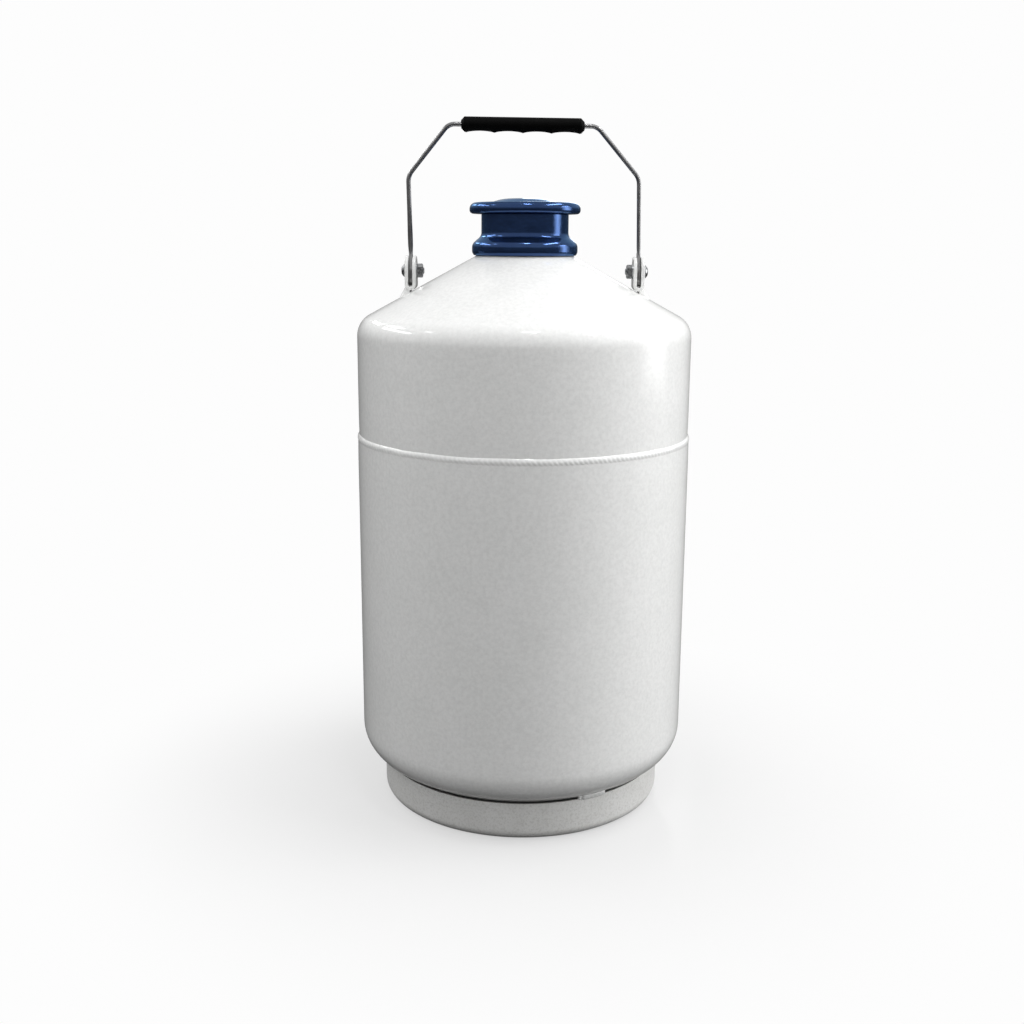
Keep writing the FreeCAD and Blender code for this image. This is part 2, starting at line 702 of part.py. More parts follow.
def make_vacuum_port():
    """The evacuation port in the recessed floor, with its plug, sealing ring and dust cap."""
    tube("vacuum_port_body", "port_bore", "port_radius", "port_bottom", "port_top")
    plug = turned_piece("vacuum_port_plug", [
        ("0", "port_plug_bottom"),
        ("port_bore - port_plug_gap", "port_plug_bottom"),
        ("port_bore - port_plug_gap", "port_plug_top", "port_plug_rounding"),
        ("0", "port_plug_top"),
    ])
    half = "port_ring_radius"
    groove = "port_bore - 2 * port_ring_radius"
    turn(plug, [
        (groove, f"port_ring_height - {half}"),
        ("port_bore", f"port_ring_height - {half}"),
        ("port_bore", f"port_ring_height + {half}"),
        (groove, f"port_ring_height + {half}"),
    ], "Groove")
    ring = doc.addObject("Part::Torus", "vacuum_port_seal")
    ring.Label = "vacuum_port_seal"
    bind(ring, "Radius1", "port_bore - port_ring_radius")
    bind(ring, "Radius2", "port_ring_radius")
    bind(ring, "Placement.Base.z", "port_ring_height")
    nodes["vacuum_port_seal"] = ring
    turned_piece("vacuum_port_cap", [
        ("0", "port_cap_bottom"),
        ("port_radius + port_cap_wall", "port_cap_bottom", "port_cap_rounding"),
        ("port_radius + port_cap_wall", "port_cap_top"),
        ("port_radius", "port_cap_top"),
        ("port_radius", "port_bottom"),
        ("port_bore", "port_bottom"),
        ("port_bore", "port_cap_bottom + port_cap_wall"),
        ("0", "port_cap_bottom + port_cap_wall"),
    ])


# The index collar on the neck, and the lid.

def make_gasket():
    inner, outer = "gasket_inner_radius", "gasket_outer_radius"
    turned_piece("collar_gasket", [
        (inner, cone_height(inner)),
        (outer, cone_height(outer)),
        (outer, cone_height(outer) + " + gasket_thickness"),
        (inner, cone_height(inner) + " + gasket_thickness"),
    ])


def make_collar():
    """A moulded collar whose rim has a slot and a hole for each canister's hook."""
    body = make_body("index_collar")
    outer_edge = cone_height("gasket_outer_radius") + " + gasket_thickness"
    inner_edge = cone_height("gasket_inner_radius") + " + gasket_thickness"
    turn(body, [
        ("waist_radius", "collar_top", "rim_radius"),
        ("waist_radius", "waist_bottom", "waist_fillet"),
        ("collar_radius", "collar_shoulder", "collar_shoulder_radius"),
        ("collar_radius", "collar_foot", "collar_edge_radius"),
        ("gasket_outer_radius + collar_play", "collar_foot"),
        ("gasket_outer_radius + collar_play", outer_edge),
        ("gasket_outer_radius", outer_edge),
        ("gasket_inner_radius", inner_edge),
        ("neck_ring_radius + collar_play", inner_edge),
        ("neck_ring_radius + collar_play", "neck_ring_step + collar_play"),
        ("neck_sleeve_radius + collar_play", "neck_ring_step + collar_play"),
        ("neck_sleeve_radius + collar_play", "neck_top"),
        ("neck_bore_radius", "neck_top"),
        ("neck_bore_radius", "collar_top"),
    ])
    slot = make_sketch(body, "XY_Plane", "collar_top")
    Outline(slot, [
        ("hook_slot_start", "-hook_slot_width / 2"),
        ("hook_slot_end", "-hook_slot_width / 2"),
        ("hook_slot_end", "hook_slot_width / 2"),
        ("hook_slot_start", "hook_slot_width / 2"),
    ])
    slots = extrude(body, slot, "hook_slot_depth", "Pocket")
    hole = make_circle(body, "XY_Plane", "hook_reach", "0", "hook_hole_radius", "collar_top")
    holes = extrude(body, hole, "hook_hole_depth", "Pocket")
    repeat_round(body, [slots, holes], "canister_count")
    nodes["index_collar"] = body


def make_lid():
    turned_piece("lid_cap", [
        ("0", "dome_top - dome_dish"),
        ("dome_radius / 2", "dome_top - dome_dish", "dish_rounding"),
        ("dome_radius", "dome_top", "dome_rounding"),
        ("dome_foot_radius", "lid_shelf", "dome_foot_rounding"),
        ("lid_radius", "lid_shelf", "lid_edge_radius"),
        ("lid_radius", "collar_top", "lid_lip_radius"),
        ("retainer_radius", "collar_top"),
        ("retainer_radius", "plug_top"),
        ("0", "plug_top"),
    ])
    tube("plug_retainer", "plug_radius + retainer_play", "retainer_radius - retainer_play",
         "collar_top + retainer_play", "plug_top")
    turned_piece("foam_plug", [
        ("0", "plug_bottom"),
        ("plug_radius - plug_chamfer", "plug_bottom"),
        ("plug_radius", "plug_bottom + plug_chamfer"),
        ("plug_radius", "plug_top"),
        ("0", "plug_top"),
    ])


# The canisters.

def make_cup(index, turned):
    """A thin cup with a perforated floor, in its place on the canister circle."""
    body = make_body(f"canister_cup_{index}")
    rim = "cup_bottom + cup_height"
    turn(body, [
        ("0", "cup_bottom"),
        ("cup_radius", "cup_bottom", "cup_rounding"),
        ("cup_radius", rim),
        ("cup_radius - cup_wall", rim),
        ("cup_radius - cup_wall", "cup_bottom + cup_wall", "cup_rounding - cup_wall"),
        ("0", "cup_bottom + cup_wall"),
    ])
    middle = make_circle(body, "XY_Plane", "0", "0", "drain_radius", rim)
    extrude(body, middle, "2 * cup_height", "Pocket")
    first = make_circle(body, "XY_Plane", "drain_circle", "0", "drain_radius", rim)
    drain = extrude(body, first, "2 * cup_height", "Pocket")
    repeat_round(body, [drain], "drain_count")
    reach = number("canister_circle")
    spin = Rotation(Vector(0, 0, 1), turned)
    body.Placement = Placement(spin.multVec(Vector(reach, 0, 0)), spin)
    nodes[body.Label] = body


def make_rod(index, turned):
    """A canister's hook rod: up its inner side, through the neck and over the collar's rim."""
    body = make_body(f"canister_rod_{index}")
    foot = "canister_circle - cup_radius - rod_radius"
    section = make_circle(body, "XY_Plane", foot, "0", "rod_radius", "rod_foot")
    sweep(body, section, [
        (foot, "rod_foot"),
        (foot, "rod_lower_bend", "rod_bend_radius"),
        ("rod_neck_offset", "rod_upper_bend", "rod_bend_radius"),
        ("rod_neck_offset", "hook_height", "hook_bend_radius"),
        ("hook_reach", "hook_height", "hook_bend_radius"),
        ("hook_reach", "hook_tip"),
    ])
    body.Placement = Placement(Vector(), Rotation(Vector(0, 0, 1), turned))
    nodes[body.Label] = body


def make_canisters():
    count = int(number("canister_count"))
    for index in range(1, count + 1):
        turned = 360 / count * (index - 1)
        make_cup(index, turned)
        make_rod(index, turned)


def make_divider():
    """A plate, a hub and six fins that keep the canisters apart on the vessel's floor."""
    body = make_body("canister_divider")
    low = "vessel_floor + vessel_wall"
    turn(body, [
        ("0", low),
        ("spider_base_radius", low),
        ("spider_base_radius", f"{low} + spider_plate"),
        ("spider_hub_radius", f"{low} + spider_plate"),
        ("spider_hub_radius", f"{low} + spider_height"),
        ("spider_hub_radius - spider_plate", f"{low} + spider_height"),
        ("spider_hub_radius - spider_plate", f"{low} + spider_plate"),
        ("0", f"{low} + spider_plate"),
    ])
    fin = make_sketch(body, "XZ_Plane")
    Outline(fin, [
        ("spider_hub_radius - spider_plate / 2", f"{low} + spider_plate / 2"),
        ("spider_base_radius", f"{low} + spider_plate / 2"),
        ("spider_radius", f"{low} + spider_height / 2"),
        ("spider_radius", f"{low} + spider_height"),
        ("spider_hub_radius - spider_plate / 2", f"{low} + spider_height"),
    ])
    fins = extrude(body, fin, "spider_plate", symmetric=True)
    repeat_round(body, [fins], "canister_count")
    half_step = 180 / number("canister_count")
    body.Placement = Placement(Vector(), Rotation(Vector(0, 0, 1), half_step))
    nodes["canister_divider"] = body


# The bail, its lugs and its pivots.

INNER_FACE = "(leg_offset - slot_width / 2 - ear_thickness)"
OUTER_FACE = "(leg_offset + slot_width / 2 + ear_thickness)"
CONE_EDGE = "upper_shell_radius - shoulder_radius"
CONE_TOOL = [
    ("collar_radius", cone_height("collar_radius")),
    (CONE_EDGE, cone_height(CONE_EDGE)),
    (CONE_EDGE, "seam_height"),
    ("collar_radius", "seam_height"),
]


def make_lug():
    """A bent strip with two ears. Its bend stands on the cone."""
    body = make_body("bail_lug_right")
    top = "pivot_height + ear_top"
    bend = "slot_width / 2 + ear_thickness - bend_flat"
    inner_bend = "slot_width / 2 - bend_flat"
    strip = make_sketch(body, "XZ_Plane")
    Outline(strip, [
        (INNER_FACE, top),
        (INNER_FACE, "lug_floor", bend),
        (OUTER_FACE, "lug_floor", bend),
        (OUTER_FACE, top),
        ("leg_offset + slot_width / 2", top),
        ("leg_offset + slot_width / 2", "lug_floor + ear_thickness", inner_bend),
        ("leg_offset - slot_width / 2", "lug_floor + ear_thickness", inner_bend),
        ("leg_offset - slot_width / 2", top),
    ])
    extrude(body, strip, "ear_width", symmetric=True)
    doc.recompute()
    round_ears(body)
    hole = make_circle(body, "YZ_Plane", "0", "pivot_height", "bolt_radius + glue_gap", OUTER_FACE)
    extrude(body, hole, f"2 * ({OUTER_FACE} - leg_offset)", "Pocket")
    turn(body, CONE_TOOL, "Groove")
    nodes["bail_lug_right"] = body
    return body


def round_ears(body):
    """Rounds the four upper corners of the ears."""
    base = body.Tip
    top = number("pivot_height + ear_top")
    side = number("ear_width / 2")
    corners = [
        f"Edge{i}" for i, edge in enumerate(base.Shape.Edges, start=1)
        if abs(edge.BoundBox.ZMin - top) < 1e-6 and abs(edge.BoundBox.YLength) < 1e-6
        and abs(abs(edge.BoundBox.YMin) - side) < 1e-6
    ]
    rounding = body.newObject("PartDesign::Fillet", "bail_lug_rounding")
    rounding.Base = (base, corners)
    bind(rounding, "Radius", "ear_corner_radius")


def make_lug_weld(name, corners, lug):
    """A weld bead between a lug's outer side and the cone: a block less the lug and the cone."""
    body = make_body(name)
    bead = make_sketch(body, "XZ_Plane")
    Outline(bead, corners)
    extrude(body, bead, "ear_width", symmetric=True)
    turn(body, CONE_TOOL, "Groove")
    weld = doc.addObject("Part::Cut", f"{name}_trimmed")
    weld.Base = body
    weld.Tool = lug
    return weld


def make_lugs():
    right = make_lug()
    left = mirrored("bail_lug_left", right)
    left.Label = "bail_lug_left"
    nodes["bail_lug_left"] = left
    toe = f"{OUTER_FACE} + lug_weld_leg"
    root = "leg_offset + lug_weld_root"
    bead = make_lug_weld("outer_bead", [
        (OUTER_FACE, f"{cone_height(OUTER_FACE)} + lug_weld_height"),
        (toe, cone_height(toe)),
        (toe, f"{cone_height(toe)} - lug_weld_depth"),
        (root, f"{cone_height(root)} - lug_weld_depth"),
        (root, "lug_floor + lug_weld_root"),
    ], right)
    pair("lug_welds", bead)


def turned_along_x(name, corners):
    """A piece revolved about the right pivot's axis, from (x, radius) corners."""
    body = make_body(name)
    turn(body, corners, axis="H_Axis")
    bind(body, "Placement.Base.z", "pivot_height")
    return body


def make_pivots():
    """On each side a domed bolt from outside, and a washer and a nut inside."""
    nut_face = f"{INNER_FACE} - washer_thickness"
    tip = f"{nut_face} - nut_height - bolt_end"
    bolt = turned_along_x("pivot_bolt", [
        (tip, "0"),
        (tip, "bolt_radius - bolt_bevel"),
        (f"{tip} + bolt_bevel", "bolt_radius"),
        (OUTER_FACE, "bolt_radius"),
        (OUTER_FACE, "bolt_head_radius"),
        (f"{OUTER_FACE} + head_edge_height", "bolt_head_radius", "head_edge_rounding"),
        (f"{OUTER_FACE} + bolt_head_height", "head_flat_radius", "head_dome_rounding"),
        (f"{OUTER_FACE} + bolt_head_height", "0"),
    ])
    pair("pivot_bolts", bolt)
    washer = turned_along_x("pivot_washer", [
        (nut_face, "bolt_radius + glue_gap"),
        (INNER_FACE, "bolt_radius + glue_gap"),
        (INNER_FACE, "washer_radius"),
        (nut_face, "washer_radius"),
    ])
    pair("pivot_washers", washer)
    pair("pivot_nuts", make_nut(nut_face))


def make_nut(nut_face):
    """A hexagon nut: a prism, bevelled by a turned blank, with a plain bore."""
    prism = doc.addObject("Part::Prism", "nut_prism")
    prism.Polygon = 6
    bind(prism, "Circumradius", "nut_corner_radius")
    bind(prism, "Height", "nut_height")
    prism.Placement.Rotation = Rotation(Vector(0, 1, 0), 90)
    bind(prism, "Placement.Base.x", f"{nut_face} - nut_height")
    bind(prism, "Placement.Base.z", "pivot_height")
    blank = turned_along_x("nut_blank", [
        (f"{nut_face} - nut_height", "bolt_radius"),
        (f"{nut_face} - nut_height", "nut_corner_radius - nut_bevel"),
        (f"{nut_face} - nut_height + nut_bevel / 2", "nut_corner_radius"),
        (f"{nut_face} - nut_bevel / 2", "nut_corner_radius"),
        (nut_face, "nut_corner_radius - nut_bevel"),
        (nut_face, "bolt_radius"),
    ])
    nut = doc.addObject("Part::MultiCommon", "pivot_nut")
    nut.Shapes = [prism, blank]
    return nut


def make_bail_rod():
    """The bent wire with a flattened eye at each end."""
    body = make_body("bail_rod")
    start = "eye_neck_height - wire_overlap"
    section = make_circle(body, "XY_Plane", "leg_offset", "0", "wire_radius", start)
    sweep(body, section, [
        ("leg_offset", start),
        ("leg_offset", "bail_shoulder_height", "lower_bend_radius"),
        ("bail_corner_offset", "bail_top", "upper_bend_radius"),
        ("-bail_corner_offset", "bail_top", "upper_bend_radius"),
        ("-leg_offset", "bail_shoulder_height", "lower_bend_radius"),
        ("-leg_offset", start),
    ])
    for side in ("", "-"):
        add_eye(body, f"{side}leg_offset")
    nodes["bail_rod"] = body


def add_eye(body, offset):
    """A long flat eye on the pivot, a tapering neck up to the wire, and the bolt's hole."""
    pad = make_sketch(body, "YZ_Plane", offset)
    Outline(pad, [
        ("-eye_radius", "pivot_height - eye_drop - eye_radius", "eye_radius - bend_flat"),
        ("eye_radius", "pivot_height - eye_drop - eye_radius", "eye_radius - bend_flat"),
        ("eye_radius", "pivot_height + eye_radius", "eye_radius - bend_flat"),
        ("-eye_radius", "pivot_height + eye_radius", "eye_radius - bend_flat"),
    ])
    extrude(body, pad, "eye_thickness", symmetric=True)
    neck = make_sketch(body, "YZ_Plane", offset)
    Outline(neck, [
        ("-eye_flank", "pivot_height + eye_flank_rise"),
        ("eye_flank", "pivot_height + eye_flank_rise"),
        ("wire_radius", "eye_neck_height"),
        ("-wire_radius", "eye_neck_height"),
    ])
    extrude(body, neck, "eye_thickness", symmetric=True)
    hole = make_circle(body, "YZ_Plane", "0", "pivot_height", "bolt_radius + bolt_play", offset)
    extrude(body, hole, "2 * eye_thickness", "Pocket", symmetric=True)


def make_grip():
    """A moulded sleeve on the wire with four finger hollows underneath."""
    body = make_body("bail_grip")
    end = "grip_length / 2"
    turn(body, [
        (f"-{end}", "wire_radius + grip_play"),
        (f"-{end}", "grip_radius - grip_bevel"),
        (f"-{end} + grip_bevel", "grip_radius", "grip_bevel_rounding"),
        (f"{end} - grip_bevel", "grip_radius", "grip_bevel_rounding"),
        (end, "grip_radius - grip_bevel"),
        (end, "wire_radius + grip_play"),
    ], axis="H_Axis")
    low = "-grip_radius - finger_radius + finger_depth"
    for index in range(int(number("finger_count"))):
        across = f"({index} - (finger_count - 1) / 2) * finger_pitch"
        hollow = make_circle(body, "XZ_Plane", across, low, "finger_radius")
        extrude(body, hollow, "4 * grip_radius", "Pocket", symmetric=True)
    bind(body, "Placement.Base.z", "bail_top")
    nodes["bail_grip"] = body


def make_everything():
    make_lower_shell()
    make_upper_shell()
    make_girth_weld()
    make_foot_ring()
    make_foot_welds()
    make_neck()
    make_vessel_lower()
    make_vessel_upper()
    make_vessel_weld()
    make_insulation()
    make_adsorbent()
    make_getter()
    make_vacuum_port()
    make_gasket()
    make_collar()
    make_lid()
    make_canisters()
    make_divider()
    make_lugs()
    make_pivots()
    make_bail_rod()
    make_grip()
    doc.recompute()


def check():
    """Stops if any feature failed or any node isn't a valid closed shape."""
    faults = [o.Label for o in doc.Objects if {"Invalid", "Error"} & set(o.State)]
    for label, node in nodes.items():
        if node.Shape.isNull() or not node.Shape.isValid() or not node.Shape.Solids:
            faults.append(label)
    if faults:
        raise RuntimeError(f"these did not build: {faults}")


def export():
    os.makedirs("parts", exist_ok=True)
    for label, node in nodes.items():
        node.Shape.exportStep(f"parts/{label}.step")
        box = node.Shape.BoundBox
        solids = len(node.Shape.Solids)
        print(f"{label}: {solids} solid(s), {node.Shape.Volume:.1f} mm3, "
              f"z {box.ZMin:.2f} to {box.ZMax:.2f}, x {box.XMin:.2f} to {box.XMax:.2f}")


make_everything()
check()
export()
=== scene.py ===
import math

import bmesh
import bpy
from mathutils import Euler, Matrix, Vector, noise

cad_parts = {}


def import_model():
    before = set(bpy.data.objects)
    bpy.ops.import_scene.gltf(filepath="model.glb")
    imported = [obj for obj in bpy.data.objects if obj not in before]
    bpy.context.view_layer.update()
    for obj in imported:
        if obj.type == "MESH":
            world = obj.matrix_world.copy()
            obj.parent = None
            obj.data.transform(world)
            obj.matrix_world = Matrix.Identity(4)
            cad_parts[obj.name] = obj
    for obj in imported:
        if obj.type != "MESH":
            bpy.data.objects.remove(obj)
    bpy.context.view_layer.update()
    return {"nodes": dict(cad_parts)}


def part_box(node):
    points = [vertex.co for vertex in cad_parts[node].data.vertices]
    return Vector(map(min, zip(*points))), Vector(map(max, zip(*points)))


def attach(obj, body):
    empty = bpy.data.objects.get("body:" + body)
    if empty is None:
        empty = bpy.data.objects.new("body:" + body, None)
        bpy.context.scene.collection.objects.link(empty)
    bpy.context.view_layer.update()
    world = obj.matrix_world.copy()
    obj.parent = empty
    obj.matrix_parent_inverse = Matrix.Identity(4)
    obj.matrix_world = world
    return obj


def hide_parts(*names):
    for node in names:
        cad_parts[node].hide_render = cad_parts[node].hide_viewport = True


# The looks of a ten-litre liquid nitrogen dewar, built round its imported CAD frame. Lengths are
# metres, +Z is up and the object's front is -Y. Sizes come from the CAD nodes' boxes, and the
# named values below repeat only the roundings and slopes that a box doesn't give.

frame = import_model()
node_boxes = {node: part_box(node) for node in frame["nodes"]}
MM = 0.001
TURN = 2 * math.pi


def low(node):
    return node_boxes[node][0]


def high(node):
    return node_boxes[node][1]


# Outlines: lists of (radius, height) points.

ARC_STEP = math.radians(7)


def rounded(corners, closed=True):
    """Turns (across, up[, radius]) corners into points, with an arc at each corner with a radius."""
    points = []
    count = len(corners)
    for i, corner in enumerate(corners):
        here = Vector(corner[:2])
        at_end = not closed and i in (0, count - 1)
        if len(corner) < 3 or at_end:
            points.append(here)
            continue
        back = (Vector(corners[i - 1][:2]) - here).normalized()
        ahead = (Vector(corners[(i + 1) % count][:2]) - here).normalized()
        half = back.angle(ahead) / 2
        centre = here + (back + ahead).normalized() * (corner[2] / math.sin(half))
        start = here + back * (corner[2] / math.tan(half)) - centre
        end = here + ahead * (corner[2] / math.tan(half)) - centre
        sweep = start.angle_signed(end)
        steps = max(3, math.ceil(abs(sweep) / ARC_STEP))
        for k in range(steps + 1):
            points.append(centre + turned(start, -sweep * k / steps))
    return points


def turned(vector, angle):
    c, s = math.cos(angle), math.sin(angle)
    return Vector((vector.x * c - vector.y * s, vector.x * s + vector.y * c))


def divided(points, step):
    """Adds points on the long straight runs of an open outline, so that a surface can bend."""
    fine = [points[0]]
    for a, b in zip(points, points[1:]):
        parts = max(1, math.ceil((b - a).length / step))
        fine += [a.lerp(b, k / parts) for k in range(1, parts + 1)]
    return fine


def normal_at(points, i):
    """The direction square to an open outline at one of its points."""
    along = (points[min(len(points) - 1, i + 1)] - points[max(0, i - 1)]).normalized()
    return Vector((-along.y, along.x))


def across_steps(count):
    """Evenly spaced values from -1 to 1."""
    return [-1 + 2 * k / (count - 1) for k in range(count)]


def around(count):
    """Evenly spaced angles of a full turn."""
    return [TURN * k / count for k in range(count)]


# Meshes.

SHARP = math.radians(38)


def make_piece(name, part, material, stands_for, body="vessel"):
    """A new smooth-shaded piece that rides on a body and stands for CAD nodes."""
    piece = placed(name, new_mesh(name, *part))
    smooth(piece.data)
    piece.data.materials.append(material)
    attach(piece, body)
    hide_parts(*stands_for)
    return piece


def new_mesh(name, vertices, faces):
    mesh = bpy.data.meshes.new(name)
    mesh.from_pydata([tuple(v) for v in vertices], [], faces)
    return mesh


def placed(name, data):
    """A new object in the scene, at the origin."""
    made = bpy.data.objects.new(name, data)
    bpy.context.scene.collection.objects.link(made)
    return made


def smooth(mesh):
    """Welds doubled points, turns the faces outward and shades smooth except at sharp edges."""
    bm = bmesh.new()
    bm.from_mesh(mesh)
    bmesh.ops.remove_doubles(bm, verts=bm.verts, dist=1e-6)
    bmesh.ops.recalc_face_normals(bm, faces=bm.faces)
    if bm.calc_volume(signed=True) < 0:
        bmesh.ops.reverse_faces(bm, faces=bm.faces)
    for face in bm.faces:
        face.smooth = True
    for edge in bm.edges:
        edge.smooth = len(edge.link_faces) != 2 or edge.calc_face_angle() < SHARP
    bm.to_mesh(mesh)
    bm.free()


def grid(columns, wrap_columns, wrap_rows):
    """Vertices and faces of a net of points: a list of columns of equal length."""
    rows = len(columns[0])
    vertices = [point for column in columns for point in column]
    faces = []
    for i in range(len(columns) if wrap_columns else len(columns) - 1):
        j = (i + 1) % len(columns)
        for k in range(rows if wrap_rows else rows - 1):
            m = (k + 1) % rows
            faces.append((i * rows + k, j * rows + k, j * rows + m, i * rows + m))
    return vertices, faces


def lathe(outline, segments, bend=None):
    """A closed outline turned about Z. bend(radius, height, angle) may return another point."""
    columns = []
    for angle in around(segments):
        c, s = math.cos(angle), math.sin(angle)
        column = []
        for radius, height in outline:
            if bend is not None and radius > 0:
                radius, height = bend(radius, height, angle)
            column.append((radius * c, radius * s, height))
        columns.append(column)
    return grid(columns, True, True)


def capped(columns):
    """A net of closed sections with a face at each end."""
    vertices, faces = grid(columns, False, True)
    rows = len(columns[0])
    last = (len(columns) - 1) * rows
    faces.append(tuple(range(rows)))
    faces.append(tuple(last + k for k in reversed(range(rows))))
    return vertices, faces


def joined(*parts):
    """Several (vertices, faces) as one."""
    vertices, faces = [], []
    for some, others in parts:
        first = len(vertices)
        vertices += list(some)
        faces += [tuple(first + k for k in face) for face in others]
    return vertices, faces


def moved(part, matrix):
    vertices, faces = part
    return [matrix @ Vector(v) for v in vertices], faces


def mirrored(part):
    vertices, faces = part
    return [(-x, y, z) for x, y, z in vertices], [tuple(reversed(f)) for f in faces]


def both_sides(part):
    """A part on the right, and its mirror image on the left."""
    return joined(part, mirrored(part))


def wobble(x, y, z, size, seed=0.0):
    """Smooth noise from about -1 to 1, with waves of about this size."""
    return noise.noise(Vector((x / size + seed, y / size - seed, z / size + 3 * seed)))


# Materials.

class Tree:
    """A node tree, and a short way to add to it."""

    def __init__(self, tree):
        self.nodes, self.links = tree.nodes, tree.links

    def add(self, kind, *in_order, **by_name):
        """A new node, with its sockets linked or set."""
        node = self.nodes.new("ShaderNode" + kind)
        for socket, value in zip(node.inputs, in_order):
            self.feed(socket, value)
        for name, value in by_name.items():
            self.feed(node.inputs[name.replace("_", " ")], value)
        return node

    def feed(self, socket, value):
        """Links another node's output to a socket, or sets the socket's value."""
        if isinstance(value, bpy.types.NodeSocket):
            self.links.new(value, socket)
        else:
            socket.default_value = (*value, 1) if socket.type == "RGBA" else value


class Paint(Tree):
    """A Principled material, and the nodes that feed it."""

    def __init__(self, name, **plain):
        self.material = bpy.data.materials.new(name)
        self.material.use_nodes = True
        super().__init__(self.material.node_tree)
        self.shader = self.nodes["Principled BSDF"]
        self.place = self.add("TexCoord").outputs["Object"]
        self.normal = None
        for name, value in plain.items():
            self.feed(self.shader.inputs[name.replace("_", " ")], value)

    def stretched(self, scale):
        return self.add("Mapping", Scale=scale, Vector=self.place).outputs["Vector"]

    def noise(self, size, detail=2.0, rough=0.5, place=None):
        """Noise with features of about this size in metres."""
        node = self.add("TexNoise", Scale=1 / size, Detail=detail, Roughness=rough)
        self.feed(node.inputs["Vector"], place or self.place)
        return node.outputs["Fac"]

    def cells(self, size, feature="F1", output="Distance"):
        node = self.add("TexVoronoi", Scale=1 / size, Vector=self.place)
        node.feature = feature
        return node.outputs[output]

    def ramp(self, value, *stops):
        """A value through (position, colour or grey) stops."""
        node = self.add("ValToRGB", Fac=value)
        while len(node.color_ramp.elements) < len(stops):
            node.color_ramp.elements.new(0.5)
        for element, (position, colour) in zip(node.color_ramp.elements, stops):
            element.position = position
            grey = isinstance(colour, (int, float))
            element.color = (colour, colour, colour, 1) if grey else (*colour, 1)
        return node.outputs["Color"]

    def scaled(self, value, low_value, high_value):
        """A value from 0 to 1 spread over another range."""
        node = self.add("MapRange", Value=value, To_Min=low_value, To_Max=high_value)
        return node.outputs["Result"]

    def between(self, value, start, end):
        """0 where the value is start or less, 1 where it is end or more, smoothly."""
        node = self.add("MapRange", Value=value, From_Min=start, From_Max=end)
        node.interpolation_type = "SMOOTHSTEP"
        return node.outputs["Result"]

    def maths(self, operation, first, second):
        node = self.add("Math", first, second)
        node.operation = operation
        return node.outputs["Value"]

    def mixed(self, share, first, second, how="MIX"):
        """One colour over another, by a share from 0 to 1."""
        node = self.nodes.new("ShaderNodeMix")
        node.data_type = "RGBA"
        node.blend_type = how
        wanted = {("Factor", "VALUE"): share, ("A", "RGBA"): first, ("B", "RGBA"): second}
        for key, value in wanted.items():
            self.feed(next(s for s in node.inputs if (s.name, s.type) == key), value)
        return next(s for s in node.outputs if s.type == "RGBA")

    def tinted(self, colour, shade):
        """A colour multiplied by a grey."""
        return self.mixed(1.0, colour, shade, "MULTIPLY")

    def height(self):
        return self.add("SeparateXYZ", self.place).outputs["Z"]

    def colour(self, value, *stops):
        """The base colour, from a colour or from a value through stops."""
        self.feed(self.shader.inputs["Base Color"], self.ramp(value, *stops) if stops else value)

    def rough(self, value, low_value, high_value):
        self.feed(self.shader.inputs["Roughness"], self.scaled(value, low_value, high_value))

    def bump(self, height, depth, strength=1.0):
        """Adds relief of this depth in metres on top of any before it."""
        node = self.add("Bump", Distance=depth, Strength=strength, Height=height)
        if self.normal is not None:
            self.feed(node.inputs["Normal"], self.normal)
        self.normal = node.outputs["Normal"]
        self.feed(self.shader.inputs["Normal"], self.normal)


def enamel():
    """Sprayed white stove enamel: orange peel under a clear gloss, and a little grime low down."""
    paint = Paint("white_enamel", Specular_IOR_Level=0.3, Coat_Weight=0.75, Coat_Roughness=0.06)
    cloud = paint.noise(0.05, detail=4)
    white = paint.ramp(cloud, (0.3, (0.84, 0.845, 0.835)), (0.7, (0.87, 0.872, 0.865)))
    mottle = paint.ramp(paint.noise(0.0034, detail=3, rough=0.65), (0.3, 0.9), (0.64, 1.0))
    mottled = paint.tinted(white, mottle)
    hem = paint.maths("SUBTRACT", 1.0, paint.between(paint.height(), 0.0004, 0.007))
    patches = paint.scaled(paint.noise(0.012, detail=4), 0.35, 1.0)
    grime = paint.maths("MULTIPLY", paint.maths("MULTIPLY", hem, patches), 0.6)
    paint.colour(paint.mixed(grime, mottled, (0.2, 0.19, 0.17)))
    paint.rough(paint.noise(0.02, detail=3), 0.42, 0.55)
    paint.bump(paint.noise(0.0045, detail=1.5), 0.00006)
    paint.bump(paint.noise(0.0011, detail=2), 0.000012)
    return paint.material


def sanded_enamel():
    """The foot's thinner coat, sprayed over a blasted surface, with painted shade along its top
    edge.
    """
    paint = Paint("sanded_enamel", Specular_IOR_Level=0.45)
    cloud = paint.noise(0.03, detail=4)
    white = paint.ramp(cloud, (0.3, (0.68, 0.68, 0.665)), (0.7, (0.74, 0.74, 0.73)))
    grit = paint.noise(0.0021, detail=3, rough=0.75)
    sand = paint.maths("MULTIPLY", paint.between(grit, 0.44, 0.66), 0.45)
    speckled = paint.mixed(sand, white, (0.46, 0.455, 0.43))
    hem = paint.maths("SUBTRACT", 1.0, paint.between(paint.height(), 0.0003, 0.004))
    scuffs = paint.scaled(paint.noise(0.008, detail=4), 0.3, 1.0)
    grime = paint.maths("MULTIPLY", paint.maths("MULTIPLY", hem, scuffs), 0.7)
    # Painted shade: a dark strip at the ring's top edge, from 35.6 mm up, stands in for the shade in
    # the gap under the shell.
    gap_shade = paint.maths("MULTIPLY", paint.between(paint.height(), 0.0356, 0.0359), 0.85)
    gap_shaded = paint.mixed(gap_shade, speckled, (0.09, 0.088, 0.08))
    paint.colour(paint.mixed(grime, gap_shaded, (0.11, 0.105, 0.095)))
    paint.rough(paint.noise(0.01, detail=3), 0.42, 0.6)
    paint.bump(paint.noise(0.0026, detail=3, rough=0.6), 0.00012)
    paint.bump(grit, 0.00006)
    return paint.material


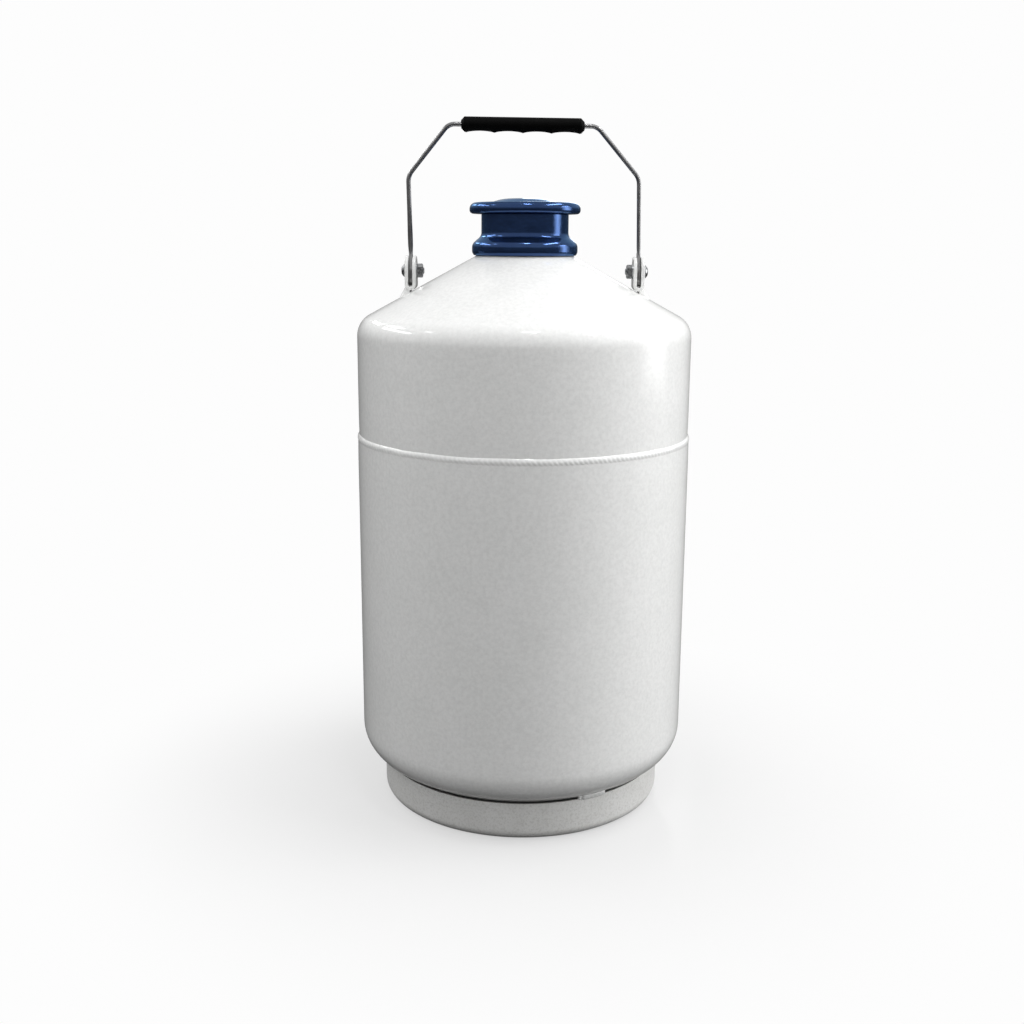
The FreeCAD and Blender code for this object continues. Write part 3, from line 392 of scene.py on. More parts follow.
def navy_moulding():
    """Glossy navy polypropylene, pigmented with a metallic fleck that tints its gloss blue."""
    paint = Paint("navy_moulding", Metallic=0.85, Specular_Tint=(0.45, 0.7, 1.0),
                  Coat_Weight=0.22, Coat_Roughness=0.05)
    cloud = paint.noise(0.02, detail=3)
    paint.colour(cloud, (0.3, (0.026, 0.058, 0.162)), (0.7, (0.034, 0.073, 0.19)))
    paint.rough(paint.noise(0.006, detail=4), 0.11, 0.19)
    paint.bump(paint.noise(0.009, detail=2), 0.00022)
    scratches = paint.noise(0.0006, detail=2, place=paint.stretched((1, 1, 0.06)))
    paint.bump(scratches, 0.000005)
    return paint.material


def black_rubber(name, grey=0.012, pebble=0.0006, roughness=(0.5, 0.68), gloss=0.32):
    paint = Paint(name, Specular_IOR_Level=gloss)
    cloud = paint.noise(0.01, detail=3)
    dark, light = (grey,) * 3, (grey * 1.8,) * 3
    paint.colour(cloud, (0.3, dark), (0.75, light))
    paint.rough(paint.noise(0.004, detail=3), *roughness)
    paint.bump(paint.cells(pebble), 0.00003)
    return paint.material


def polished_wire():
    """Drawn and bent stainless wire, with a satin shine and a few duller patches."""
    paint = Paint("polished_wire", Metallic=1.0)
    patches = paint.noise(0.012, detail=1)
    paint.colour(patches, (0.3, (0.26, 0.26, 0.263)), (0.7, (0.35, 0.35, 0.353)))
    paint.rough(paint.noise(0.009, detail=1), 0.28, 0.4)
    paint.bump(paint.noise(0.006, detail=1), 0.00001)
    return paint.material


def zinc():
    """Bright zinc plating, with a faint spangle and dull recesses."""
    paint = Paint("zinc_plating", Metallic=1.0)
    spangle = paint.cells(0.0014, output="Color")
    paint.colour(spangle, (0.2, (0.24, 0.245, 0.25)), (0.8, (0.5, 0.51, 0.52)))
    paint.rough(paint.noise(0.0018, detail=3), 0.2, 0.42)
    paint.bump(paint.noise(0.0006, detail=3), 0.00001)
    return paint.material


def spun_aluminium():
    """Bare aluminium with the spinning tool's rings."""
    paint = Paint("bare_aluminium", Metallic=1.0)
    tone = 0.62
    rings = paint.noise(0.0011, detail=3, place=paint.stretched((0.02, 0.02, 1)))
    paint.colour(rings, (0.3, (tone * 0.86,) * 3), (0.7, (tone, tone, tone * 1.03)))
    paint.rough(paint.noise(0.006, detail=3), 0.3, 0.48)
    paint.bump(rings, 0.00002)
    return paint.material


def canister_steel():
    """Brushed stainless sheet."""
    paint = Paint("canister_steel", Metallic=1.0)
    brushed = paint.noise(0.0005, detail=3, place=paint.stretched((1, 1, 0.05)))
    paint.colour(brushed, (0.3, (0.46, 0.46, 0.47)), (0.7, (0.6, 0.6, 0.61)))
    paint.rough(brushed, 0.25, 0.42)
    paint.bump(brushed, 0.00001)
    return paint.material


def glass_laminate():
    """The neck tube: amber-green epoxy and woven glass."""
    paint = Paint("glass_laminate", Specular_IOR_Level=0.5)
    bands = paint.noise(0.0012, detail=1, place=paint.stretched((0.25, 0.25, 1)))
    ends = paint.noise(0.0012, detail=1, place=paint.stretched((1, 1, 0.25)))
    weave = paint.maths("MAXIMUM", bands, ends)
    paint.colour(weave, (0.45, (0.36, 0.33, 0.17)), (0.7, (0.52, 0.49, 0.3)))
    paint.rough(weave, 0.3, 0.5)
    paint.bump(weave, 0.00004)
    return paint.material


def crinkled_foil():
    """Aluminised film and glass paper, wound in many layers."""
    paint = Paint("crinkled_foil", Metallic=0.9)
    creases = paint.cells(0.009, feature="DISTANCE_TO_EDGE")
    # Painted shade: the colour is darker along the creases.
    paint.colour(creases, (0.02, (0.55, 0.56, 0.58)), (0.2, (0.78, 0.79, 0.81)))
    paint.rough(paint.noise(0.004, detail=4), 0.18, 0.4)
    paint.bump(creases, 0.0006, strength=0.6)
    paint.bump(paint.noise(0.003, detail=4), 0.0002)
    return paint.material


def beads():
    """Molecular sieve: small tan beads, with painted shade between them."""
    paint = Paint("molecular_sieve", Roughness=0.9)
    grains = paint.cells(0.0021)
    # Painted shade: each bead's colour darkens from its middle out to its edge, where the beads
    # meet.
    paint.colour(grains, (0.0, (0.74, 0.68, 0.57)), (0.6, (0.46, 0.4, 0.31)))
    paint.bump(grains, 0.0008)
    return paint.material


def getter_metal():
    paint = Paint("getter", Metallic=0.8)
    pits = paint.noise(0.0008, detail=4)
    paint.colour(pits, (0.3, (0.3, 0.3, 0.31)), (0.7, (0.5, 0.5, 0.5)))
    paint.rough(pits, 0.4, 0.7)
    paint.bump(pits, 0.00004)
    return paint.material


def plug_foam():
    """White moulded foam, made of fused beads."""
    paint = Paint("plug_foam", Specular_IOR_Level=0.3)
    fused = paint.cells(0.0032, feature="DISTANCE_TO_EDGE")
    paint.colour(fused, (0.0, (0.66, 0.67, 0.68)), (0.12, (0.85, 0.86, 0.87)))
    paint.rough(paint.noise(0.002, detail=3), 0.65, 0.85)
    paint.bump(fused, 0.0003, strength=0.7)
    return paint.material


WHITE = enamel()
FOOT_WHITE = sanded_enamel()
NAVY = navy_moulding()
GRIP = black_rubber("black_grip", grey=0.0013, pebble=0.0009, gloss=0.05)
RUBBER = black_rubber("seal_rubber")
CAP = black_rubber("cap_plastic", grey=0.02, pebble=0.0007, roughness=(0.4, 0.55))
WIRE = polished_wire()
ZINC = zinc()
ALUMINIUM = spun_aluminium()
STEEL = canister_steel()
LAMINATE = glass_laminate()
FOIL = crinkled_foil()
SIEVE = beads()
GETTER = getter_metal()
FOAM = plug_foam()


# The outer shells, the girth weld and the foot.

WALL = 2.5 * MM
SEAM = high("outer_shell_lower").z
LOWER_RADIUS = high("outer_shell_lower").x
UPPER_RADIUS = 150.3 * MM
CONE_SLOPE = math.radians(28.5)
NECK_HOLE = high("neck_ring_upper").x
CONE_TOP = high("outer_shell_upper").z
KNUCKLE_CORNER = 51 * MM
KNUCKLE_ANGLE = math.radians(58)
KNUCKLE = 32 * MM
SHELL_STEPS = 360
DENT, DENT_SIZE = 0.16 * MM, 90 * MM
PULL, PULL_REACH = 0.25 * MM, 11 * MM


def cone_height(radius):
    """The outside of the cone at a radius. Its highest point is at the neck's hole."""
    return CONE_TOP - (radius - NECK_HOLE) * math.tan(CONE_SLOPE)


def hand_worked(radius, height, angle):
    """The shallow waves of a spun and welded shell: a little deeper beside the girth weld."""
    x, y = radius * math.cos(angle), radius * math.sin(angle)
    pull = math.exp(-(((height - SEAM) / PULL_REACH) ** 2)) * PULL
    wave = wobble(x, y, height * 0.6, DENT_SIZE) * DENT
    fade = min(1.0, max(0.0, (radius - NECK_HOLE) / (20 * MM)))
    return radius + (wave - pull) * fade, height + wave * 0.3 * fade


def shell_section(outside):
    """An outside line and the same line a wall's thickness further in, as one closed outline."""
    inside = [point + normal_at(outside, i) * WALL for i, point in enumerate(outside)]
    for point in inside:
        point.x = max(point.x, 0.0)
    return outside + inside[::-1]


def make_shell(name, outside, node):
    section = shell_section(divided(outside, 6 * MM))
    make_piece(name, lathe(section, SHELL_STEPS, hand_worked), WHITE, [node])


def lower_shell():
    floor = low("outer_shell_lower").z
    recess = floor + 6 * MM
    floor_edge = LOWER_RADIUS - (KNUCKLE_CORNER - floor) * math.tan(KNUCKLE_ANGLE)
    port = high("vacuum_port_body").x
    outside = rounded([
        (port, recess),
        (34 * MM, recess, 20 * MM),
        (96 * MM, floor, 20 * MM),
        (floor_edge, floor, 12 * MM),
        (LOWER_RADIUS, KNUCKLE_CORNER, KNUCKLE),
        (LOWER_RADIUS, SEAM),
    ], closed=False)
    make_shell("lower_shell", outside, "outer_shell_lower")


def upper_shell():
    lap = LOWER_RADIUS - WALL - 0.2 * MM
    outside = rounded([
        (lap, low("outer_shell_upper").z),
        (lap, SEAM + 0.6 * MM, 0.8 * MM),
        (UPPER_RADIUS, SEAM + 2.2 * MM, 0.8 * MM),
        (UPPER_RADIUS, cone_height(UPPER_RADIUS), 21 * MM),
        (NECK_HOLE, CONE_TOP),
    ], closed=False)
    make_shell("upper_shell", outside, "outer_shell_upper")


RIPPLE = 4.3 * MM
RIPPLE_STEPS = 7
BEAD_ROWS = 13
RIDGE = 0.62


def bead_relief(along, across, depth=0.26):
    """How high a weld bead stands, from 0 to about 1: a domed section with slanting ripples."""
    dome = math.sqrt(max(0.0, 1 - across * across))
    phase = (along / RIPPLE + across * 0.42) % 1.0
    ripple = 0.5 + 0.5 * math.cos(TURN * phase ** 0.75)
    return dome * (1 - depth + depth * ripple)


def girth_weld():
    """The seam's bead: one torch pass round the vessel, with its ripples as real relief."""
    bottom, top = low("girth_weld").z, high("girth_weld").z
    centre, half = (bottom + top) / 2, (top - bottom) / 2
    crest = high("girth_weld").x
    count = round(TURN * LOWER_RADIUS / RIPPLE)
    columns = []
    for i in range(count * RIPPLE_STEPS):
        angle = TURN * i / (count * RIPPLE_STEPS)
        c, s = math.cos(angle), math.sin(angle)
        along = RIPPLE * i / RIPPLE_STEPS
        sway = wobble(c, s, 0, 0.12, 4.0) * 0.35 * MM
        spread = (half + 0.6 * MM) * (1 + 0.12 * wobble(c, s, 0, 0.2, 9.0))
        column = []
        for across in across_steps(BEAD_ROWS):
            share = (across + 1) / 2
            base = LOWER_RADIUS + (UPPER_RADIUS - LOWER_RADIUS) * share - 0.3 * MM
            depth = 0.24 - 0.12 * across
            ridge = bead_relief(along, across, depth) * math.sqrt(max(0.0, 1 - across * across))
            radius = base + (crest - base) * RIDGE * ridge
            column.append((radius * c, radius * s, centre + sway + across * spread))
        back = LOWER_RADIUS - 1.2 * MM
        column.append((back * c, back * s, centre + half * 0.6))
        column.append((back * c, back * s, centre - half * 0.6))
        columns.append(column)
    make_piece("girth_weld_bead", grid(columns, True, True), WHITE, ["girth_weld"])


FOOT_RADIUS = high("foot_ring").x
FOOT_TOP = high("foot_ring").z
FOOT_WALL = 2 * MM


def foot_ring():
    """A pressed ring, rounded well under to its flange, slightly uneven and seamed at the back."""
    flange, edge = 17 * MM, 10 * MM

    def rolled(radius, height, angle):
        c, s = math.cos(angle), math.sin(angle)
        seam = 0.35 * MM * math.exp(-(((angle - 0.27 * TURN) / 0.02) ** 2))
        wave = wobble(c, s, height * 8, 0.35, 2.0) * 0.25 * MM
        lift = max(0.0, wobble(c, s, 0, 0.05, 6.0)) * 0.15 * MM
        raised = seam if radius > FOOT_RADIUS - 1 * MM else 0
        return radius + wave + raised, height + (lift if height < 1 * MM else 0)

    outline = rounded([
        (FOOT_RADIUS - flange, 0, 0.6 * MM),
        (FOOT_RADIUS, 0, edge),
        (FOOT_RADIUS, FOOT_TOP, 0.6 * MM),
        (FOOT_RADIUS - FOOT_WALL, FOOT_TOP, 0.5 * MM),
        (FOOT_RADIUS - FOOT_WALL, FOOT_WALL, edge - FOOT_WALL),
        (FOOT_RADIUS - flange, FOOT_WALL, 0.6 * MM),
    ])
    make_piece("foot_band", lathe(outline, SHELL_STEPS, rolled), FOOT_WHITE, ["foot_ring"])


def floor_rim_height(radius):
    """The outside of the sloping floor at a radius."""
    return KNUCKLE_CORNER - (LOWER_RADIUS - radius) / math.tan(KNUCKLE_ANGLE)


def stitch_weld(centre_angle):
    """A short bead from the foot ring's rim up to the sloping floor, dented near its start."""
    half_length = 14 * MM
    steps, rows = 56, 11
    columns = []
    for share in across_steps(steps + 1):
        angle = math.radians(centre_angle) + share * half_length / FOOT_RADIUS
        c, s = math.cos(angle), math.sin(angle)
        along = share * half_length
        neck = 1 - 0.5 * math.exp(-(((share + 0.78) / 0.09) ** 2))
        body = math.sqrt(max(0.0, 1 - share ** 6)) * neck
        lower = Vector((FOOT_RADIUS, FOOT_TOP - 1.6 * MM * body))
        reach = FOOT_RADIUS + 1.9 * MM * body
        upper = Vector((reach, floor_rim_height(reach)))
        outward = Vector((0.8, -0.6)) * 0.9 * MM * body
        column = []
        for across in across_steps(rows):
            point = lower.lerp(upper, (across + 1) / 2)
            point = point + outward * bead_relief(along, across, 0.14)
            point.x += wobble(along, across * MM, centre_angle, 4 * MM, 1.0) * 0.15 * MM
            column.append((point.x * c, point.x * s, point.y))
        inner = FOOT_RADIUS - 1.2 * MM
        column.append((inner * c, inner * s, floor_rim_height(inner) + 0.4 * MM))
        column.append((inner * c, inner * s, FOOT_TOP - 0.6 * MM))
        columns.append(column)
    return capped(columns)


STITCH_ANGLES = (-61, -160, 118, 20)


def foot_welds():
    welds = joined(*[stitch_weld(angle) for angle in STITCH_ANGLES])
    make_piece("foot_stitches", welds, WHITE, ["foot_ring_welds"])


lower_shell()
upper_shell()
girth_weld()
foot_ring()
foot_welds()


# The neck: gasket, index collar, lid and plug.

ROUND_STEPS = 288
BORE = 25 * MM
SEAL_INNER = 36 * MM
DOME_REACH, LID_SHELF = 33 * MM, 549 * MM


def gasket():
    outer, bulge = high("collar_gasket").x, 0.35 * MM
    inside, outside = cone_height(SEAL_INNER), cone_height(outer)
    thick = high("collar_gasket").z - inside
    outline = rounded([
        (SEAL_INNER, inside),
        (outer, outside, 0.3 * MM),
        (outer + bulge, outside + thick / 2, 0.5 * MM),
        (outer, outside + thick, 0.3 * MM),
        (SEAL_INNER, inside + thick),
    ])
    make_piece("collar_seal", lathe(outline, ROUND_STEPS), RUBBER, ["collar_gasket"])


RIM = high("index_collar").z
COLLAR_RADIUS = high("index_collar").x
WAIST = 38.8 * MM
HOOKS = 6


def collar():
    """The moulded collar, with six slots and holes in its rim for the canister hooks."""
    waist_bottom, shoulder = 520.3 * MM, 513.1 * MM
    foot = low("index_collar").z
    seal, inner_foot = high("collar_gasket").x, high("collar_gasket").z
    seal_top = cone_height(seal) + inner_foot - cone_height(SEAL_INNER)
    ring = high("neck_ring_upper")
    play = 0.3 * MM
    step, step_top = 30 * MM + play, 512 * MM + play
    neck_top = high("neck_tube").z
    outline = rounded([
        (WAIST, RIM, 0.8 * MM),
        (WAIST, waist_bottom, 6.4 * MM),
        (COLLAR_RADIUS, shoulder, 6.6 * MM),
        (COLLAR_RADIUS, foot + 2.4 * MM, 4 * MM),
        (COLLAR_RADIUS - 1.6 * MM, foot, 0.9 * MM),
        (seal + play, foot),
        (seal + play, seal_top),
        (SEAL_INNER, inner_foot),
        (ring.x + play, inner_foot),
        (ring.x + play, step_top),
        (step, step_top),
        (step, neck_top),
        (BORE, neck_top, 0.4 * MM),
        (BORE, RIM, 1.0 * MM),
    ])
    piece = make_piece("hook_collar", lathe(outline, ROUND_STEPS), NAVY, ["index_collar"])
    cut(piece, hook_cutters())


def hook_cutters():
    """Six slots across the rim, each ending in a deeper round hole."""
    half, depth, hole_depth = 1.6 * MM, 5.2 * MM, 11 * MM
    start, end, hole, hole_radius = BORE - 2 * MM, 34.7 * MM, 33 * MM, 1.7 * MM
    round_end = [math.pi * k / 12 for k in range(1, 12)]
    slot_line = [(start, -half), (end - half, -half)]
    slot_line += [(end - half + half * math.sin(a), -half * math.cos(a)) for a in round_end]
    slot_line += [(end - half, half), (start, half)]
    corners = [TURN * (k + 0.5) / 24 for k in range(24)]
    well_line = [(hole + hole_radius * math.cos(a), hole_radius * math.sin(a)) for a in corners]
    slot = prism(slot_line, RIM - depth, RIM + 2 * MM)
    well = prism(well_line, RIM - hole_depth, RIM - depth + 0.5 * MM)
    turns = [Matrix.Rotation(angle, 4, "Z") for angle in around(HOOKS)]
    return [joined(*[moved(part, turn) for turn in turns]) for part in (slot, well)]


def prism(line, bottom, top):
    return capped([[(x, y, z) for x, y in line] for z in (bottom, top)])


def cut(piece, cutters):
    """Cuts parts out of a piece, and keeps the result as its mesh."""
    made = []
    for part in cutters:
        cutter = placed("cutter", new_mesh("cutter", *part))
        smooth(cutter.data)
        modifier = piece.modifiers.new("cut", "BOOLEAN")
        modifier.operation = "DIFFERENCE"
        modifier.solver = "EXACT"
        modifier.object = cutter
        made.append(cutter)
    bpy.context.view_layer.update()
    evaluated = piece.evaluated_get(bpy.context.evaluated_depsgraph_get())
    result = bpy.data.meshes.new_from_object(evaluated)
    piece.modifiers.clear()
    piece.data = result
    smooth(result)
    for cutter in made:
        bpy.data.objects.remove(cutter)


def swelling(reach, foot, top):
    """A low dome's outline, from its middle out to where it meets the shelf."""
    shares = [k / 24 for k in range(25)]
    swell = [0.5 + 0.5 * math.cos(math.pi * share ** 2.5) for share in shares]
    return [(reach * share, foot + (top - foot) * up) for share, up in zip(shares, swell)]


def lid():
    """The round lid: a low dome in the middle of a thick rolled rim."""
    groove = RIM + 0.5 * MM
    top = high("lid_cap")
    ring = high("plug_retainer").x + 0.1 * MM
    plug_top = high("foam_plug").z
    outline = rounded([
        *swelling(DOME_REACH, LID_SHELF, top.z),
        (top.x, LID_SHELF, 5.6 * MM),
        (top.x, RIM, 3.2 * MM),
        (WAIST + 1.5 * MM, RIM, 0.5 * MM),
        (WAIST + 1.0 * MM, groove, 0.3 * MM),
        (WAIST - 2.5 * MM, groove, 0.3 * MM),
        (WAIST - 3 * MM, RIM, 0.3 * MM),
        (ring, RIM),
        (ring, plug_top),
        (0, plug_top),
    ])
    make_piece("round_lid", lathe(outline, ROUND_STEPS), NAVY, ["lid_cap"],
               "lid")


def plug():
    bottom, (radius, _, top) = low("foam_plug").z, high("foam_plug")
    outline = divided(rounded([
        (0, bottom),
        (radius - 3 * MM, bottom, 1 * MM),
        (radius, bottom + 3 * MM, 1 * MM),
        (radius, top),
        (0, top),
    ], closed=False), 4 * MM)

    def pressed(r, z, angle):
        worn = wobble(math.cos(angle), math.sin(angle), z / 0.03, 0.4, 5.0) * 0.12 * MM
        return r + (worn if r > radius / 2 else 0), z

    make_piece("neck_plug", lathe(outline, 96, pressed), FOAM, ["foam_plug"],
               "lid")


gasket()
collar()
lid()
plug()


# The bail: lugs, welds, bolts, wire and grip.

PIVOT = low("bail_rod").z + 11.5 * MM
LEG = high("bail_rod").x - 2 * MM
EAR_OUT = high("bail_lug_right").x
EAR_IN = low("bail_lug_right").x
EAR_TOP = high("bail_lug_right").z
EAR_HALF = high("bail_lug_right").y
EAR = 3 * MM
SLOT_HALF = (EAR_OUT - EAR_IN) / 2 - EAR
EAR_MIDDLE = (EAR_OUT + EAR_IN) / 2
LUG_FLOOR = 472.6 * MM


def ear_half_width(height):
    """Half the ears' width, which a full round closes at the top."""
    rounding = 12.3 * MM
    above = height - (EAR_TOP - rounding)
    if above <= 0:
        return EAR_HALF
    return EAR_HALF - rounding + math.sqrt(max(0.0, rounding ** 2 - above ** 2))


def lug():
    """A strip bent to a U. Each section across the strip follows the U from ear to ear."""
    bend = SLOT_HALF + EAR / 2 - 0.05 * MM
    line = rounded([
        (EAR_MIDDLE - SLOT_HALF - EAR / 2, EAR_TOP),
        (EAR_MIDDLE - SLOT_HALF - EAR / 2, LUG_FLOOR + EAR / 2, bend),
        (EAR_MIDDLE + SLOT_HALF + EAR / 2, LUG_FLOOR + EAR / 2, bend),
        (EAR_MIDDLE + SLOT_HALF + EAR / 2, EAR_TOP),
    ], closed=False)
    line = divided(line, 0.7 * MM)
    edge = 0.55 * MM
    columns = []
    for i, point in enumerate(line):
        normal = normal_at(line, i)
        half = ear_half_width(point.y) if i not in (0, len(line) - 1) else 2 * MM
        thick = EAR / 2
        if EAR_TOP - point.y < edge:
            inset = edge - (EAR_TOP - point.y)
            thick -= edge - math.sqrt(max(0.0, edge ** 2 - inset ** 2))
        section = [(point + normal * t, y) for y, t in flat_section(half, thick, edge)]
        columns.append([(place.x, y, place.y) for place, y in section])
    vertices, faces = capped(columns)
    gap = 0.45 * MM
    settled = [(x, y, max(z, cone_height(math.hypot(x, y)) + gap)) for x, y, z in vertices]
    return settled, faces


def flat_section(half, thick, edge):
    """A strip's section with rounded edges, as (across, through) points."""
    edge = min(edge, thick * 0.98)
    points = []
    for i, (side, face) in enumerate(((1, 1), (-1, 1), (-1, -1), (1, -1))):
        y, t = side * half, face * thick
        for k in range(4):
            a = math.pi / 2 * (i + k / 3)
            points.append((y - side * edge + edge * math.cos(a),
                           t - face * edge + edge * math.sin(a)))
        if side == face:
            points += [(y - 2 * y * k / 12, t) for k in range(1, 12)]
    return points


def lugs():
    right = lug()
    make_piece("lug_right", right, WHITE, ["bail_lug_right"])
    make_piece("lug_left", mirrored(right), WHITE, ["bail_lug_left"])


def lug_bead():
    """The fillet weld between a lug's outer side and the cone, rippled along its length."""
    steps, rows = 40, 13
    half_length = EAR_HALF - 0.6 * MM
    columns = []
    for share in across_steps(steps + 1):
        y = share * half_length
        swell = math.sqrt(max(0.0, 1 - share ** 8))
        toe_x = EAR_OUT + 5.6 * MM * swell
        top = Vector((EAR_OUT - 0.3 * MM, cone_height(EAR_OUT) + 7.6 * MM * swell))
        toe = Vector((toe_x, cone_height(math.hypot(toe_x, y)) - 0.1 * MM))
        sag = Vector((-0.5, -0.87)) * 1.0 * MM * swell
        column = []
        for across in across_steps(rows):
            point = top.lerp(toe, (across + 1) / 2)
            relief = bead_relief(y + half_length, across)
            point = point + sag * (1 - across * across) - sag * 1.5 * (relief - 0.4)
            column.append((point.x, y, point.y))
        under_x = EAR_MIDDLE + 0.5 * MM
        column.append((under_x, y, cone_height(under_x) - 1.5 * MM))
        column.append((under_x, y, LUG_FLOOR + 1.2 * MM))
        columns.append(column)
    return capped(columns)


def turned_on_pivot(outline, steps=64, shape=None):
    """An outline of (x, radius) points turned about the right pivot's axis."""
    columns = []
    for angle in around(steps):
        column = []
        for x, radius in outline:
            r = radius if shape is None else shape(x, radius, angle)
            column.append((x, r * math.cos(angle), PIVOT + r * math.sin(angle)))
        columns.append(column)
    return grid(columns, True, True)


BOLT = 3 * MM
WASHER = 1 * MM
NUT_FACE = EAR_IN - WASHER
NUT = 4.6 * MM
THREAD = 0.8 * MM


def bolt():
    """A domed bolt from outside, with a threaded end that shows beyond the nut."""
    tip = NUT_FACE - NUT - 1.2 * MM
    head = high("pivot_bolts").x
    outline = rounded([
        (tip, 0),
        (tip, BOLT - 0.5 * MM),
        (tip + 0.5 * MM, BOLT),
        (EAR_OUT, BOLT),
        (EAR_OUT, 6 * MM, 0.2 * MM),
        (EAR_OUT + 1.2 * MM, 6 * MM, 0.5 * MM),
        (head, 3.2 * MM, 3.4 * MM),
        (head, 0),
    ], closed=False)
    outline = divided(outline, 0.13 * MM)

    def threaded(x, radius, angle):
        if x > NUT_FACE - NUT or radius < BOLT * 0.7:
            return radius
        turn = ((x - tip) / THREAD + angle / TURN) % 1.0
        return radius - 0.32 * MM * abs(2 * turn - 1)

    return turned_on_pivot(outline, 72, threaded)


def nut():
    """A hexagon nut, bevelled at both faces."""
    corner = 6.2 * MM
    flat = corner * math.cos(math.pi / 6)
    outline = rounded([
        (NUT_FACE, BOLT + 0.1 * MM),
        (NUT_FACE, corner, 0.15 * MM),
        (NUT_FACE - NUT, corner, 0.15 * MM),
        (NUT_FACE - NUT, BOLT + 0.1 * MM),
    ])
    outline = divided(outline + outline[:1], 0.25 * MM)[:-1]

    def hexagon(x, radius, angle):
        side = (angle + math.pi / 6) % (math.pi / 3) - math.pi / 6
        wall = flat / math.cos(side)
        from_face = min(NUT_FACE - x, x - (NUT_FACE - NUT))
        bevel = flat + from_face * 1.75 + 0.05 * MM
        if radius < flat * 0.9:
            return radius
        return min(wall, bevel, radius * wall / corner if radius < corner * 0.97 else wall)

    return turned_on_pivot(outline, 120, hexagon)


def washer():
    radius = 6.5 * MM
    outline = rounded([
        (EAR_IN, BOLT + 0.1 * MM),
        (EAR_IN, radius, 0.15 * MM),
        (NUT_FACE, radius, 0.3 * MM),
        (NUT_FACE, BOLT + 0.1 * MM),
    ])
    return turned_on_pivot(outline, 96)


def pivots():
    for name, part, node in (("domed_bolts", bolt(), "pivot_bolts"),
                             ("hex_nuts", nut(), "pivot_nuts"),
                             ("flat_washers", washer(), "pivot_washers")):
        make_piece(name, both_sides(part), ZINC, [node])
    make_piece("lug_beads", both_sides(lug_bead()), WHITE, ["lug_welds"])


WIRE_RADIUS = 2 * MM
WIRE_TOP = (low("bail_grip").z + high("bail_grip").z) / 2
EYE = 7 * MM
EYE_DROP = 6.2 * MM
EYE_HALF = 1.6 * MM
EYE_NECK = 15.5 * MM


def wire_route():
    """The wire's centreline from one flattened neck to the other, as (x, z) points."""
    bottom = PIVOT + EYE_NECK - 2 * MM
    shoulder = PIVOT + 81.5 * MM
    corner = 65 * MM
    route = rounded([
        (LEG, bottom),
        (LEG, shoulder, 14 * MM),
        (corner, WIRE_TOP, 12 * MM),
        (-corner, WIRE_TOP, 12 * MM),
        (-LEG, shoulder, 14 * MM),
        (-LEG, bottom),
    ], closed=False)
    return divided(route, 4 * MM)


def wire():
    """The bent wire, flattened a little where it runs into its eyes."""
    route = wire_route()
    columns = []
    for i, point in enumerate(route):
        normal = normal_at(route, i)
        above = point.y - PIVOT - EYE_NECK
        flatness = min(1.0, max(0.0, 1 - above / (4 * MM)))
        uneven, reach = (0.25 * MM, 14 * MM) if point.x < 0 else (-0.3 * MM, 60 * MM)
        spread = uneven * math.exp(-(((above - 14 * MM) / reach) ** 2))
        across = WIRE_RADIUS + spread + (EYE_HALF - WIRE_RADIUS) * flatness
        deep = WIRE_RADIUS * (1 + 0.22 * flatness)
        section = [(point + normal * (across * math.cos(a)), a) for a in around(20)]
        columns.append([(side.x, deep * math.sin(a), side.y) for side, a in section])
    return capped(columns)


def eye():
    """The hammered eye: a round pad that tapers into the wire, with its bolt hole."""
    hole = BOLT + 0.08 * MM
    edge = 0.5 * MM
    rim = [(0, EYE_HALF - edge), (edge * 0.3, EYE_HALF - edge * 0.3), (edge, EYE_HALF)]
    columns = []
    for a in around(72):
        outward = Vector((math.cos(a), math.sin(a)))
        section = [(half, eye_reach(outward) - inset) for inset, half in rim]
        section += [(EYE_HALF, hole + edge * 0.5), (EYE_HALF - edge * 0.5, hole)]
        section += [(-half, reach) for half, reach in reversed(section)]
        columns.append([(LEG + x, reach * outward.x, PIVOT + reach * outward.y)
                        for x, reach in section])
    return grid(columns, True, True)


def eye_reach(outward):
    """How far the eye's edge is from the pivot in a direction: a long pad and a tapered neck."""
    if outward.y < 0.2:
        flank = EYE / max(1e-6, abs(outward.x))
        if flank * outward.y > -EYE_DROP:
            return flank if outward.y < 0 else EYE
        toward_end = -EYE_DROP * outward.y
        return toward_end + math.sqrt(toward_end ** 2 - EYE_DROP ** 2 + EYE ** 2)
    side = abs(outward.x) / outward.y
    foot_half, foot_up = 6.6 * MM, 2.1 * MM
    slope = (foot_half - WIRE_RADIUS) / (EYE_NECK - foot_up)
    up = (foot_half + slope * foot_up) / (side + slope)
    neck = min(up, EYE_NECK + 1.5 * MM) * math.hypot(1, side)
    return max(EYE, neck)


def leaned(part):
    """The bail as it was bent by hand: it leans a little, and one shoulder is the higher."""
    vertices, faces = part
    lean, droop = -2.7 * MM, 0.011
    leaning = []
    for x, y, z in vertices:
        share = max(0.0, z - PIVOT - 8 * MM) / (WIRE_TOP - PIVOT)
        leaning.append((x + lean * share, y, z - droop * x * share))
    return leaning, faces


GRIP_HALF = high("bail_grip").x
GRIP_FULL = 6.5 * MM
GRIP_BEVEL = 3 * MM
FINGER_PITCH = 25 * MM
FINGERS = 4


